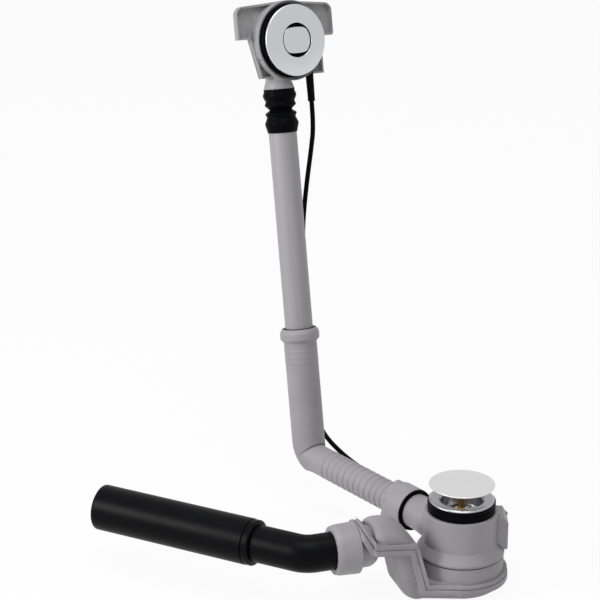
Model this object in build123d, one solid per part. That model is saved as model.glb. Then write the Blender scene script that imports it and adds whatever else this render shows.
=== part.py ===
from build123d import *

import os
from math import acos, cos, degrees, pi, radians, sin, tan

# Bath waste and overflow. Millimetres and degrees.
# The origin is the waste's axis at the underside of the bath flange, +Z is up, and the overflow arm
# leaves towards -X.

# Clearances
RUN = 0.35  # between pieces that move on each other
SEAT = 0.15  # between round pieces that sit on each other

# Waste flange, its well and the screw that clamps it
FLANGE_R = 35.0
FLANGE_EDGE = 1.3
FLANGE_CROWN = 3.0
WELL_R = 22.2
WELL_WALL = 1.3
WELL_DEPTH = 15.0
WELL_FLOOR_T = 3.0
SPIDER_ARMS = 4
SPIDER_W = 3.6
HUB_R = 9.0
SCREW_ACROSS = 15.0
SCREW_HEAD_H = 4.5
SCREW_SHANK_R = 6.5
STEM_R = 4.0
STEM_NOSE_R = 2.0
STEM_NOSE_L = 6.0

# Seal and waste body
SEAL_R = 36.3
SEAL_T = 11.5
BODY_R = 40.0
BODY_WALL = 3.0
BODY_SHOULDER_Z = -46.0
SHOULDER_ROUND = 2.0
COLLAR_R = 47.0
COLLAR_TOP_Z = -56.0
COLLAR_Z = -59.0
PLUG_RING_L = 12.0
PLUG_RING_WALL = 2.4
DIP_R = 31.0
DIP_WALL = 2.4
DIP_Z = -79.0
BOSS_L = 10.0
BRIDGE_W = 7.0
BRIDGE_T = 6.0

# Plug
PLUG_R = 35.0
PLUG_EDGE = 1.2
PLUG_CROWN = 3.8
PLUG_T = 2.2
PLUG_TRAVEL = 14.0
PLUG_SHUT_GAP = 0.4
PLUG_SEAL_R = 23.6
PLUG_SEAL_T = 4.0

# Lifting lever and its box on the body's side
BOX_TURN = 52.0
BOX_STANDOUT = 9.5
BOX_FRONT = 13.0
BOX_BACK = 19.0
BOX_TOP_Z = -16.0
BOX_BOTTOM_Z = -52.0
BOX_WALL = 2.0
BOX_SLOPE_W = 7.0
BOX_SLOPE_H = 4.5
BOX_ROUND = 2.5
LEVER_OFFSET = 12.3
LEVER_SWING = 70.0
LEVER_SHAFT_R = 3.0
CABLE_ARM_L = 9.0
LEVER_TIP_R = 2.4
LEVER_W = 7.0
LEVER_ARM_T = 3.0
END_GLAND_R = 4.6
END_GLAND_L = 20.0
END_GLAND_Z = -26.0
END_GLAND_IN = 4.0

# Overflow arm, its union nut and the riser
ARM_Z = -41.0
ARM_L = 261.0
SPIGOT_R = 19.0
SPIGOT_ROOT_R = 21.5
SPIGOT_BORE_R = 15.5
SPIGOT_END = 92.0
NUT_R = 23.6
NUT_START = 75.5
NUT_END = 112.0
NUT_MOUTH_R = 21.0
NUT_MOUTH_L = 4.0
NUT_SEAL_LIP = 2.2
NUT_LUGS = 6
NUT_LUG_FROM_END = 5.0
NUT_LUG_W = 9.0
NUT_LUG_L = 8.5
NUT_LUG_H = 0.7
ARM_R = 16.6
ARM_BORE_R = 13.6
ARM_COLLAR_R = 18.8
RIB_COUNT = 12
RIB_DEPTH = 1.1
RIB_GROOVE = 3.2
RIB_GAP = 1.0
ARM_SWELL_L = 15.5
ARM_PLAIN_L = 19.7
RISER_R = 19.0
RISER_BORE_R = 16.4
RISER_RING_COUNT = 3
RISER_RING_PITCH = 6.5
RISER_RING_H = 0.3
RISER_LEAN_OUT = 12.4
RISER_LEAN_SIDE = 3.6
ELBOW_BEND_R = 21.5
MITRE_EASE = 0.06
ELBOW_RUN_ON = 4.0
BEAD_R = 22.6
BEAD_LOW = 133.5
BEAD_HIGH = 149.5
BEAD_FLARE = 4.5
BEAD_TAPER = 2.8
SOCKET_SEAL_R = 18.2

# Overflow pipe, bellows and head
PIPE_R = 16.0
PIPE_WALL = 1.9
PIPE_STOP = 5.3
PIPE_GRIP = 11.0
TELESCOPE_DOWN = 40.0
BELLOWS_L = 49.5
BELLOWS_WALL = 2.2
NECK_L = 53.0
NECK_R = 14.6
NECK_FLARE_R = 17.6
NECK_SPIGOT_R = 15.0
NECK_SPIGOT_L = 12.0
NECK_WALL = 2.2
HEAD_UP = 477.5
HEAD_SIDE = 11.0
HEAD_TURN = 2.7
DRUM_R = 38.0
DRUM_BACK = -17.0
DRUM_WALL = 2.4
DRUM_ROUND = 9.0
OVERFLOW_COLLAR_R = 45.0
OVERFLOW_COLLAR_F = 14.8
COLLAR_LIP_W = 1.4
COLLAR_LIP_H = 2.0
TRAY_F = 3.4
TRAY_T = 2.4
TRAY_RIM_H = 4.6
TRAY_RIM_W = 2.2
TRAY_HALF_W = 65.0
TRAY_TOP = 41.0
TRAY_TOP_RIGHT = 38.5
TRAY_PEAK = 44.8
TRAY_ROUND = 10.0
WING_LOW = 5.0
WING_LOW_RIGHT = 2.0
TRAY_LEFT = -49.0
TRAY_LEFT_LOW = -38.0
TRAY_RIGHT = 47.5
TRAY_LOW = -40.0
TRAY_CORNER = 1.5
OVERFLOW_SEAL_R = 41.8
OVERFLOW_SEAL_T = 5.0
CLAMP_RING_R = 38.0
CLAMP_RING_T = 2.2
CLAMP_RING_BORE = 27.0
GUIDE_R = 18.2
GUIDE_BORE_R = 16.4
GUIDE_DEPTH = 20.0
GUIDE_RIBS = 2
GUIDE_RIB_W = 22.0
GUIDE_SLOT_W = 20.0
GUIDE_SLOT_L = 13.0
CLAMP_SCREW_AT = 33.0
CLAMP_SCREW_R = 2.0
CLAMP_SCREW_HEAD_R = 3.6
CLAMP_SCREW_HEAD_H = 2.0
CLAMP_BOSS_R = 4.6
CLAMP_BOSS_L = 16.0
DISC_R = 40.1
DISC_HOLE_R = 19.3
DISC_T = 2.0
DISC_DEPTH = 2.4
DISC_CROWN = 2.5
DISC_F = 25.9
BUTTON_R = 18.1
BUTTON_FLAT = 14.4
BUTTON_T = 5.0
BUTTON_SINK = 0.6
BUTTON_TRAVEL = 10.0
PLUNGER_R = 5.0
SPRING_R = 7.6
SPRING_WIRE_R = 0.7
SPRING_TURNS = 5
GLAND_ACROSS = 29.4
GLAND_F = 4.5
GLAND_R = 4.6
GLAND_TOP = -37.0
GLAND_L = 34.0

# Trap: bowl, rising leg, hump and outlet, as two half shells with a seam flange
TRAP_TURN = 70.0
TRAP_WALL = 2.6
BOWL_R = 46.5
BOWL_ROUND = 13.0
FLOOR_Z = -98.5
CHANNEL_TOP_Z = -76.0
FLANK_END = 60.0
LEG_NEAR = 50.5
LEG_LEAN = 13.5
LEG_DEEP = 26.5
DUCT_HALF_W = 28.0
DUCT_ROUND = 9.0
BELLY_R = 22.0
HUMP_TOP_Z = -10.5
HUMP_R = 33.0
HUMP_END = 104.0
HUMP_END_ROUND = 10.0
WEIR_Z = -36.0
WEIR_R = 6.0
OUTLET_Z = -38.0
OUTLET_R = 24.2
OUTLET_BORE_R = 22.0
OUTLET_RING_R = 22.6
OUTLET_RING_START = 97.5
OUTLET_RING_ROUND = 11.0
OUTLET_END = 134.0
SEAM_Z = -82.0
SEAM_FOOT = 52.0
SEAM_HIP = 64.0
SEAM_HIP_Z = -34.5
SEAM_SHOULDER = 107.5
SEAM_SHOULDER_Z = -29.5
SEAM_TOP = 119.0
SEAM_TOP_Z = -8.0
SEAM_ARCH_R = 29.6
SEAM_FLANGE_W = 4.6
SEAM_COVER_T = 5.0
SEAM_BASE_T = 6.0
SEAM_GROOVE_T = 0.7
SEAM_GROOVE_W = 1.5
SEAM_STEP = 0.8
TRAP_SEAL_T = 1.2

# Control cable
CABLE_R = 2.75
CABLE_SHARE = 0.45  # of the shorter run that a bend takes up
CABLE_TAIL = 27.0
CABLE_BEHIND = 13.0
CABLE_BESIDE = 23.5
CABLE_ARM_Y = 31.0

# Outlet nut and black outlet pipe
OUTLET_NUT_R = 27.6
OUTLET_NUT_FRONT_R = 25.4
OUTLET_NUT_START = 119.0
OUTLET_NUT_END = 145.0
OUTLET_NUT_WALL = 8.0
BEND_AT = 174.0
BEND_TURN = 45.0
BEND_R = 26.0
SMALL_R = 20.0
LARGE_R = 25.0
OUTLET_WALL = 3.0
SMALL_LEG = 57.0
STEP_L = 9.0
LARGE_LEG = 183.0
SMALL_START = 122.0


# Frames
def heading(turn):
    """Level direction that is turn degrees round from the arm, towards -Y."""
    return Vector(-cos(radians(turn)), -sin(radians(turn)), 0)


arm_frame = Plane(origin=(0, 0, ARM_Z), x_dir=(0, 0, 1), z_dir=(-1, 0, 0))
riser_up = Vector(-tan(radians(RISER_LEAN_OUT)), tan(radians(RISER_LEAN_SIDE)), 1).normalized()
riser_out = (Vector(1, 0, 0) - riser_up * riser_up.X).normalized()
elbow_corner = Vector(-ARM_L, 0, ARM_Z)
riser_frame = Plane(origin=elbow_corner, x_dir=riser_out, z_dir=riser_up)
head_normal = riser_out.rotate(Axis((0, 0, 0), riser_up), -HEAD_TURN)
head_frame = Plane(
    origin=elbow_corner + riser_up * HEAD_UP + riser_up.cross(head_normal) * HEAD_SIDE,
    x_dir=riser_up.cross(head_normal),
    z_dir=head_normal,
)
trap_out = heading(TRAP_TURN)
trap_frame = Plane(origin=(0, 0, 0), x_dir=trap_out, z_dir=(0, 0, 1))
outlet_frame = Plane(origin=(0, 0, OUTLET_Z), x_dir=(0, 0, 1), z_dir=trap_out)
leg_out = heading(TRAP_TURN - BEND_TURN)
bend_corner = trap_out * BEND_AT + Vector(0, 0, OUTLET_Z)
leg_frame = Plane(origin=bend_corner, x_dir=(0, 0, 1), z_dir=leg_out)
box_out = Vector(cos(radians(BOX_TURN)), sin(radians(BOX_TURN)), 0)
box_frame = Plane(origin=(0, 0, 0), x_dir=box_out, z_dir=(0, 0, 1))

parts = {}


def outline(corners):
    """Closed flat outline in the XZ plane; each corner is (x, z) or (x, z, rounding)."""
    points = [corner[:2] for corner in corners]
    rounding = [corner[2] if len(corner) > 2 else 0 for corner in corners]
    return Plane.XZ * make_face(FilletPolyline(*points, radius=rounding, close=True))


def turned(frame, corners):
    """Solid turned round a frame's Z axis from (radius, height) corners."""
    return frame.location * revolve(outline(corners), Axis.Z)


def tube(frame, radius, low, high, bore=0):
    """Round bar or tube along a frame's Z axis, from low to high."""
    solid = Pos(0, 0, low) * Cylinder(radius, high - low, align=(Align.CENTER, Align.CENTER, Align.MIN))
    if bore:
        solid -= Pos(0, 0, low) * Cylinder(bore, high - low, align=(Align.CENTER, Align.CENTER, Align.MIN))
    return frame.location * solid


def bent_bar(points, bend_r, radius):
    """Round bar along straight runs that are joined by arcs."""
    path = FilletPolyline(*points, radius=bend_r)
    start = Plane(origin=path @ 0, z_dir=path % 0)
    return sweep(start * Circle(radius), path=path)


def round_copies(solid, count, start=0):
    """Copies of a solid, evenly round the Z axis."""
    return [Rot(0, 0, start + 360 / count * i) * solid for i in range(count)]


# Waste flange: dished rim, well and spider with the hub that the screw clamps
well_floor = -WELL_DEPTH
hub_low = well_floor - WELL_FLOOR_T
flange = turned(
    Plane.XY,
    [
        (FLANGE_R, 0),
        (FLANGE_R, FLANGE_EDGE, 0.8),
        (FLANGE_R - 2.5, FLANGE_CROWN, 1.5),
        (WELL_R + 2.5, FLANGE_EDGE, 2.0),
        (WELL_R, -FLANGE_EDGE, 1.5),
        (WELL_R, well_floor),
        (WELL_R - 3.5, well_floor),
        (WELL_R - 3.5, hub_low),
        (WELL_R + WELL_WALL, hub_low, 1.0),
        (WELL_R + WELL_WALL, 0),
    ],
)
spoke = Pos(HUB_R - 1, 0, hub_low) * Box(
    WELL_R - HUB_R - 1, SPIDER_W, WELL_FLOOR_T, align=(Align.MIN, Align.CENTER, Align.MIN)
)
flange += tube(Plane.XY, HUB_R, hub_low, well_floor)
flange += round_copies(spoke, SPIDER_ARMS, BOX_TURN)
parts["waste_flange"] = flange - tube(Plane.XY, SCREW_SHANK_R + SEAT, hub_low - 1, well_floor + 1)

# Hollow screw: hexagon head on the hub, shank in the body's boss, bore for the stem
screw_low = hub_low - BOSS_L
screw_head = Pos(0, 0, well_floor) * extrude(
    RegularPolygon(SCREW_ACROSS / 2, 6, major_radius=False), SCREW_HEAD_H
)
screw_head &= turned(
    Plane.XY,
    [
        (0, well_floor),
        (SCREW_ACROSS, well_floor),
        (SCREW_ACROSS / 2, well_floor + SCREW_HEAD_H),
        (0, well_floor + SCREW_HEAD_H),
    ],
)
screw = screw_head + tube(Plane.XY, SCREW_SHANK_R, screw_low, well_floor)
parts["flange_screw"] = screw - tube(Plane.XY, STEM_R + RUN, screw_low - 1, well_floor + SCREW_HEAD_H + 1)

# Waste seal: thick ring with a lip under the flange
seal_bore = WELL_R + WELL_WALL + SEAT
parts["waste_seal"] = turned(
    Plane.XY,
    [
        (seal_bore, 0),
        (SEAL_R, 0, 0.7),
        (SEAL_R, -3.0, 0.7),
        (SEAL_R - 1.2, -3.6),
        (SEAL_R - 1.2, -4.6),
        (SEAL_R - 0.2, -5.4, 0.6),
        (SEAL_R - 0.2, -SEAL_T),
        (seal_bore, -SEAL_T),
    ],
)

# Waste body: bell with the bridge for the screw, collar, plug ring and dip tube, and the arm's spigot
body_top = -SEAL_T
body_bore = BODY_R - BODY_WALL
plug_ring_r = BOWL_R - TRAP_WALL - RUN
bell = turned(
    Plane.XY,
    [
        (seal_bore, body_top),
        (BODY_R, body_top, 1.0),
        (BODY_R, BODY_SHOULDER_Z, SHOULDER_ROUND),
        (COLLAR_R, COLLAR_TOP_Z, 1.5),
        (COLLAR_R, COLLAR_Z),
        (plug_ring_r, COLLAR_Z),
        (plug_ring_r, COLLAR_Z - PLUG_RING_L),
        (plug_ring_r - PLUG_RING_WALL, COLLAR_Z - PLUG_RING_L),
        (plug_ring_r - PLUG_RING_WALL, COLLAR_Z + 1),
        (DIP_R, COLLAR_Z - 2),
        (DIP_R, DIP_Z),
        (DIP_R - DIP_WALL, DIP_Z),
        (DIP_R - DIP_WALL, COLLAR_Z),
        (body_bore, COLLAR_TOP_Z),
        (body_bore, body_top - BODY_WALL),
        (seal_bore, body_top - BODY_WALL),
    ],
)
spigot_start = (body_bore**2 - SPIGOT_BORE_R**2) ** 0.5
spigot = turned(
    arm_frame,
    [
        (0, spigot_start),
        (SPIGOT_ROOT_R, spigot_start),
        (SPIGOT_ROOT_R, BODY_R + 4),
        (SPIGOT_R, BODY_R + 22),
        (SPIGOT_R, SPIGOT_END, 0.8),
        (0, SPIGOT_END),
    ],
)
spigot -= tube(Plane.XY, BOWL_R + RUN, COLLAR_Z - SPIGOT_ROOT_R, COLLAR_Z)
body_hollow = tube(Plane.XY, body_bore, COLLAR_TOP_Z, body_top - BODY_WALL)
bridge = Rot(0, 0, BOX_TURN) * Pos(0, 0, screw_low) * Box(
    2 * body_bore + 1, BRIDGE_W, BRIDGE_T, align=(Align.CENTER, Align.CENTER, Align.MIN)
)
bridge += tube(Plane.XY, HUB_R, screw_low, hub_low)
bridge -= tube(Plane.XY, SCREW_SHANK_R + SEAT, screw_low - 1, hub_low + 1)
lever_pivot = Plane(
    origin=box_frame.from_local_coords(Vector(0, LEVER_OFFSET, ARM_Z)), x_dir=(0, 0, 1), z_dir=box_out
)
waste_body = bell + (spigot - body_hollow) + bridge
waste_body -= tube(arm_frame, SPIGOT_BORE_R, 0, SPIGOT_END + 1) - tube(Plane.XY, HUB_R + 3, -90, 0)
waste_body -= tube(lever_pivot, LEVER_SHAFT_R + RUN, 0, BODY_R + 2)
parts["waste_body"] = waste_body

# Plug: domed cap with a boss, brass stem and rubber ring
cap_low = FLANGE_CROWN + PLUG_SHUT_GAP + PLUG_TRAVEL
cap_boss_low = cap_low - 2.0
cap_top = cap_low + PLUG_CROWN
dome_r = (PLUG_R**2 + (PLUG_CROWN - PLUG_EDGE) ** 2) / (2 * (PLUG_CROWN - PLUG_EDGE))
dome = Pos(0, 0, cap_top - dome_r) * Sphere(dome_r)
dome_inside = Pos(0, 0, cap_top - PLUG_T - dome_r) * Sphere(dome_r)
cap = (tube(Plane.XY, PLUG_R, cap_low, cap_top) & dome) - dome_inside
cap_boss_r = PLUG_SEAL_R - 7.0
cap += tube(Plane.XY, cap_boss_r, cap_boss_low, cap_top - 1.5) & dome
stem_hole_top = cap_low + 1.0
cap -= tube(Plane.XY, STEM_R + SEAT, cap_boss_low - 1, stem_hole_top)
parts["plug_cap"] = cap

lever_lift = radians(LEVER_SWING / 2)
lever_top = ARM_Z + LEVER_OFFSET * sin(lever_lift) + LEVER_TIP_R
stem_low = lever_top + 2 * RUN
stem_flange_r = STEM_R + 5.0
stem = turned(
    Plane.XY,
    [
        (0, stem_low),
        (STEM_NOSE_R, stem_low, 0.8),
        (STEM_NOSE_R, stem_low + STEM_NOSE_L),
        (STEM_R, stem_low + STEM_NOSE_L),
        (STEM_R, cap_boss_low - PLUG_SEAL_T - 2.5),
        (stem_flange_r, cap_boss_low - PLUG_SEAL_T - 1.5),
        (stem_flange_r, cap_boss_low - PLUG_SEAL_T),
        (STEM_R, cap_boss_low - PLUG_SEAL_T),
        (STEM_R, stem_hole_top),
        (0, stem_hole_top),
    ],
)
parts["plug_stem"] = stem
parts["plug_seal"] = turned(
    Plane.XY,
    [
        (STEM_R + SEAT, cap_boss_low - PLUG_SEAL_T),
        (stem_flange_r + 3, cap_boss_low - PLUG_SEAL_T),
        (PLUG_SEAL_R - 4, cap_boss_low - 1.6),
        (PLUG_SEAL_R, cap_boss_low - 1.2, 0.5),
        (PLUG_SEAL_R, cap_boss_low, 0.5),
        (STEM_R + SEAT, cap_boss_low),
    ],
)

# Lifting lever: shaft through the body's wall, crank below the stem and an arm inside the box
shaft_start = -LEVER_W / 2
box_reach = BODY_R + BOX_STANDOUT
box_inner_reach = box_reach - BOX_WALL
shaft_end = box_inner_reach - 1.0
crank = extrude(SlotCenterToCenter(LEVER_OFFSET, 2 * LEVER_TIP_R), LEVER_W)
crank = Pos(0, LEVER_OFFSET / 2, shaft_start) * Rot(0, 0, 90) * crank
cable_arm = extrude(SlotCenterToCenter(CABLE_ARM_L, 2 * LEVER_TIP_R), LEVER_ARM_T)
cable_arm = Pos(0, CABLE_ARM_L / 2, shaft_end - LEVER_ARM_T) * Rot(0, 0, 90) * cable_arm
lever = Rot(0, 0, -LEVER_SWING / 2) * (crank + cable_arm)
lever += tube(Plane.XY, LEVER_SHAFT_R, shaft_start, shaft_end)
parts["lift_lever"] = lever_pivot.location * lever

# Cable box: cover over the lever's outer arm, moulded to the round body
box_h = BOX_TOP_Z - BOX_BOTTOM_Z
box_w = BOX_FRONT + BOX_BACK
box_mid = (BOX_BACK - BOX_FRONT) / 2
box_near = body_bore


def box_block(inset):
    """Block of the cable box, drawn in by inset on every outer side."""
    reach = box_reach - inset - box_near
    block = Pos(box_near, box_mid, BOX_BOTTOM_Z + inset) * Box(
        reach, box_w - 2 * inset, box_h - 2 * inset, align=(Align.MIN, Align.CENTER, Align.MIN)
    )
    slope = block.edges().filter_by(Axis.Y).sort_by(Axis.Z)[-2:].sort_by(Axis.X)[-1:]
    block = chamfer(slope, BOX_SLOPE_W, BOX_SLOPE_H)
    upright = block.edges().filter_by(Axis.Z).sort_by(Axis.X)[-2:]
    return fillet(upright, BOX_ROUND)


body_form = [
    (0, 0),
    (BODY_R + SEAT, 0),
    (BODY_R + SEAT, BODY_SHOULDER_Z + SEAT, SHOULDER_ROUND),
    (COLLAR_R + SEAT, COLLAR_TOP_Z + SEAT),
    (COLLAR_R + SEAT, COLLAR_Z),
    (0, COLLAR_Z),
]
box_form = box_frame.location * box_block(0) - turned(Plane.XY, body_form)
parts["cable_box"] = box_form - box_frame.location * box_block(BOX_WALL)

# Gland at the box's back, where the cable comes in
end_gland_frame = Plane(
    origin=box_frame.from_local_coords(Vector(box_reach - END_GLAND_IN, BOX_BACK, END_GLAND_Z)),
    x_dir=(0, 0, 1),
    z_dir=(-1, 0, 0),
)
end_gland = turned(
    end_gland_frame,
    [
        (0, -8),
        (END_GLAND_R, -8),
        (END_GLAND_R, END_GLAND_L - 7),
        (END_GLAND_R - 1.4, END_GLAND_L, 0.8),
        (0, END_GLAND_L),
    ],
)
box_back = box_frame.location * Pos(0, BOX_BACK, 0) * Box(
    200, 200, 200, align=(Align.CENTER, Align.MAX, Align.CENTER)
)
parts["cable_end_gland"] = end_gland - box_back

# Overflow arm, elbow and riser: one moulding
nut_shoulder = SPIGOT_END + 5.0
elbow_half_turn = radians(arm_frame.z_dir.get_angle(riser_up)) / 2
elbow_reach = ELBOW_BEND_R * tan(elbow_half_turn) + 1.0
rib_from = NUT_END + RIB_GAP
arm_ribs_end = ARM_L - ARM_SWELL_L - ARM_PLAIN_L
rib_pitch = (arm_ribs_end - rib_from) / RIB_COUNT
arm_profile = [(0, SPIGOT_END + 0.5), (ARM_COLLAR_R, SPIGOT_END + 0.5)]
arm_profile += [(ARM_COLLAR_R, nut_shoulder - SEAT), (ARM_R, nut_shoulder - SEAT)]
for i in range(RIB_COUNT):
    start = rib_from + i * rib_pitch
    arm_profile += [
        (ARM_R, start),
        (ARM_R - RIB_DEPTH, start + RIB_GROOVE * 0.35),
        (ARM_R - RIB_DEPTH, start + RIB_GROOVE * 0.65),
        (ARM_R, start + RIB_GROOVE),
    ]
arm_plain_end = ARM_L - elbow_reach - 1
arm_profile += [(ARM_R, arm_ribs_end), (ARM_R, arm_plain_end), (0, arm_plain_end)]
riser_profile = [(0, elbow_reach), (RISER_R, elbow_reach)]
ring_low = BEAD_LOW - 4.0 - RISER_RING_COUNT * RISER_RING_PITCH
for i in range(RISER_RING_COUNT):
    start = ring_low + i * RISER_RING_PITCH
    riser_profile += [
        (RISER_R, start),
        (RISER_R + RISER_RING_H, start + 0.6),
        (RISER_R + RISER_RING_H, start + 1.8),
        (RISER_R, start + 2.4),
    ]
riser_profile += [
    (RISER_R, BEAD_LOW),
    (BEAD_R, BEAD_LOW + BEAD_FLARE, 2.0),
    (BEAD_R, BEAD_HIGH - BEAD_FLARE, 2.0),
    (BEAD_R - BEAD_TAPER, BEAD_HIGH),
    (0, BEAD_HIGH),
]
riser_point = elbow_corner + riser_up * (elbow_reach + ELBOW_RUN_ON)
arm_point = Vector(-arm_plain_end, 0, ARM_Z)
mitre = Plane(origin=elbow_corner, z_dir=riser_up + arm_frame.z_dir)
past_mitre = mitre.location * Box(ARM_L, ARM_L, ARM_L, align=(Align.CENTER, Align.CENTER, Align.MIN))


def mitred_elbow(arm_r, riser_r):
    """Elbow from the arm's radius to the riser's: sharp mitre inside the bend, round outside it."""
    swell = [(0, arm_plain_end), (arm_r, arm_plain_end), (arm_r, ARM_L - ARM_SWELL_L)]
    swell += [(riser_r + MITRE_EASE, ARM_L), (riser_r + MITRE_EASE, ARM_L + riser_r), (0, ARM_L + riser_r)]
    upright = tube(riser_frame, riser_r + MITRE_EASE, -riser_r, elbow_reach + 1)
    runs = (turned(arm_frame, swell) - past_mitre) + (upright & past_mitre)
    return bent_bar([arm_point, elbow_corner, riser_point], ELBOW_BEND_R, riser_r) & runs


overflow_elbow = turned(arm_frame, arm_profile) + mitred_elbow(ARM_R, RISER_R)
overflow_elbow += turned(riser_frame, riser_profile)
hollow = mitred_elbow(ARM_BORE_R, RISER_BORE_R)
hollow += tube(arm_frame, ARM_BORE_R, SPIGOT_END - 1, arm_plain_end + 1)
seal_low = BEAD_LOW + 4.0
hollow += tube(riser_frame, RISER_BORE_R, elbow_reach, BEAD_HIGH + 1)
hollow += tube(riser_frame, SOCKET_SEAL_R + SEAT, seal_low, BEAD_HIGH + 1)
parts["overflow_elbow"] = overflow_elbow - hollow

# Socket seal: ring in the bead, its lip shows round the pipe
parts["socket_seal"] = turned(
    riser_frame,
    [
        (PIPE_R + RUN, seal_low),
        (SOCKET_SEAL_R, seal_low),
        (SOCKET_SEAL_R, BEAD_HIGH - 1),
        (SOCKET_SEAL_R - 1.2, BEAD_HIGH + 0.6),
        (PIPE_R + RUN, BEAD_HIGH + 0.6),
    ],
)

# Union nut on the spigot, and the seal in its mouth
union_nut = turned(
    arm_frame,
    [
        (NUT_MOUTH_R, NUT_START),
        (NUT_R, NUT_START, 0.6),
        (NUT_R, NUT_END - 12, 1.5),
        (NUT_R - 1.6, NUT_END - 10.5),
        (NUT_R - 1.6, NUT_END - 6, 1.5),
        (ARM_R + 1.4, NUT_END),
        (ARM_R + SEAT, NUT_END),
        (ARM_R + SEAT, nut_shoulder),
        (SPIGOT_R + SEAT, nut_shoulder),
        (SPIGOT_R + SEAT, NUT_START + NUT_MOUTH_L),
        (NUT_MOUTH_R, NUT_START + NUT_MOUTH_L),
    ],
)
lug_end = NUT_END - NUT_LUG_FROM_END
lug_ring = tube(Plane.XY, NUT_R + NUT_LUG_H, lug_end - NUT_LUG_L, lug_end, SPIGOT_R + 1.0)
lug_bar = Pos(NUT_R, 0, lug_end - NUT_LUG_L) * Box(
    NUT_R, NUT_LUG_W, NUT_LUG_L, align=(Align.CENTER, Align.CENTER, Align.MIN)
)
for lug in round_copies(lug_ring & lug_bar, NUT_LUGS):
    union_nut += arm_frame.location * lug
parts["overflow_nut"] = union_nut
parts["overflow_nut_seal"] = turned(
    arm_frame,
    [
        (SPIGOT_R + SEAT, NUT_START - NUT_SEAL_LIP),
        (NUT_R - 0.4, NUT_START - NUT_SEAL_LIP, 0.8),
        (NUT_R - 0.4, NUT_START),
        (NUT_MOUTH_R - SEAT, NUT_START),
        (NUT_MOUTH_R - SEAT, NUT_START + NUT_MOUTH_L),
        (SPIGOT_R + SEAT, NUT_START + NUT_MOUTH_L),
    ],
)

# Overflow pipe and the rubber bellows on its top
bellows_high = HEAD_UP - NECK_L
bellows_low = bellows_high - BELLOWS_L
pipe_low = elbow_reach + TELESCOPE_DOWN + PIPE_STOP
pipe_high = bellows_low + PIPE_GRIP
parts["overflow_pipe"] = tube(riser_frame, PIPE_R, pipe_low, pipe_high, PIPE_R - PIPE_WALL)
fold_r = PIPE_R + 3.4
small_fold_r = PIPE_R + 2.2
waist_r = PIPE_R - 3.5
bellows_outer = [
    (PIPE_R + 0.7, bellows_low),
    (fold_r, bellows_low + 0.21 * BELLOWS_L, 1.2),
    (PIPE_R + 0.2, bellows_low + 0.35 * BELLOWS_L, 1.0),
    (small_fold_r, bellows_low + 0.44 * BELLOWS_L, 1.0),
    (waist_r, bellows_low + 0.52 * BELLOWS_L, 0.8),
    (small_fold_r, bellows_low + 0.63 * BELLOWS_L, 1.2),
    (PIPE_R + 0.3, bellows_low + 0.71 * BELLOWS_L, 1.0),
    (fold_r, bellows_low + 0.84 * BELLOWS_L, 1.4),
    (NECK_FLARE_R, bellows_low + 0.94 * BELLOWS_L),
    (NECK_FLARE_R, bellows_high),
]
neck_spigot_low = bellows_high - NECK_SPIGOT_L
bellows_inner = [
    (NECK_SPIGOT_R + SEAT, bellows_high),
    (NECK_SPIGOT_R + SEAT, neck_spigot_low),
    (PIPE_R - BELLOWS_WALL, bellows_low + 0.70 * BELLOWS_L),
    (PIPE_R - BELLOWS_WALL, bellows_low + 0.63 * BELLOWS_L),
    (waist_r - BELLOWS_WALL, bellows_low + 0.55 * BELLOWS_L),
    (waist_r - BELLOWS_WALL, bellows_low + 0.49 * BELLOWS_L),
    (PIPE_R - BELLOWS_WALL, bellows_low + 0.42 * BELLOWS_L),
    (PIPE_R - BELLOWS_WALL, bellows_low + 0.35 * BELLOWS_L),
    (PIPE_R + SEAT, pipe_high),
    (PIPE_R + SEAT, bellows_low),
]
parts["bellows_sleeve"] = turned(riser_frame, bellows_outer + bellows_inner)

# Overflow housing: drum behind the cover, tray with rim and wings, collar and neck
tray_corners = [
    (-TRAY_HALF_W, WING_LOW),
    (-TRAY_HALF_W, TRAY_TOP, TRAY_ROUND),
    (0, TRAY_PEAK),
    (TRAY_HALF_W, TRAY_TOP_RIGHT, TRAY_ROUND),
    (TRAY_HALF_W, WING_LOW_RIGHT, 2 * TRAY_CORNER),
    (TRAY_RIGHT, WING_LOW_RIGHT, TRAY_CORNER),
    (TRAY_RIGHT, TRAY_LOW),
    (TRAY_LEFT_LOW, TRAY_LOW),
    (TRAY_LEFT, WING_LOW, TRAY_CORNER),
]
tray_points = [corner[:2] for corner in tray_corners]
tray_rounding = [corner[2] if len(corner) > 2 else 0 for corner in tray_corners]
tray_face = make_face(FilletPolyline(*tray_points, radius=tray_rounding, close=True))
tray_inside = offset(tray_face, -TRAY_RIM_W)
tray = Pos(0, 0, TRAY_F - TRAY_T) * extrude(tray_face, TRAY_T + TRAY_RIM_H)
tray -= Pos(0, 0, TRAY_F) * extrude(tray_inside, TRAY_RIM_H + 1)
drum_bore = DRUM_R - DRUM_WALL
collar = tube(Plane.XY, OVERFLOW_COLLAR_R, TRAY_F - TRAY_T, OVERFLOW_COLLAR_F)
lip_front = OVERFLOW_COLLAR_F + COLLAR_LIP_H
lip_bore = OVERFLOW_COLLAR_R - COLLAR_LIP_W
collar += tube(Plane.XY, OVERFLOW_COLLAR_R, OVERFLOW_COLLAR_F - 1, lip_front, lip_bore)
drum = tube(Plane.XY, DRUM_R, DRUM_BACK, OVERFLOW_COLLAR_F)
drum = fillet(drum.edges().sort_by(Axis.Z)[:1], DRUM_ROUND)
drum_inside = tube(Plane.XY, drum_bore, DRUM_BACK + DRUM_WALL, OVERFLOW_COLLAR_F + 1)
drum_inside = fillet(drum_inside.edges().sort_by(Axis.Z)[:1], DRUM_ROUND - DRUM_WALL)
clamp_boss = tube(Plane.XY, CLAMP_BOSS_R, DRUM_BACK + DRUM_WALL / 2, OVERFLOW_COLLAR_F)
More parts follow.
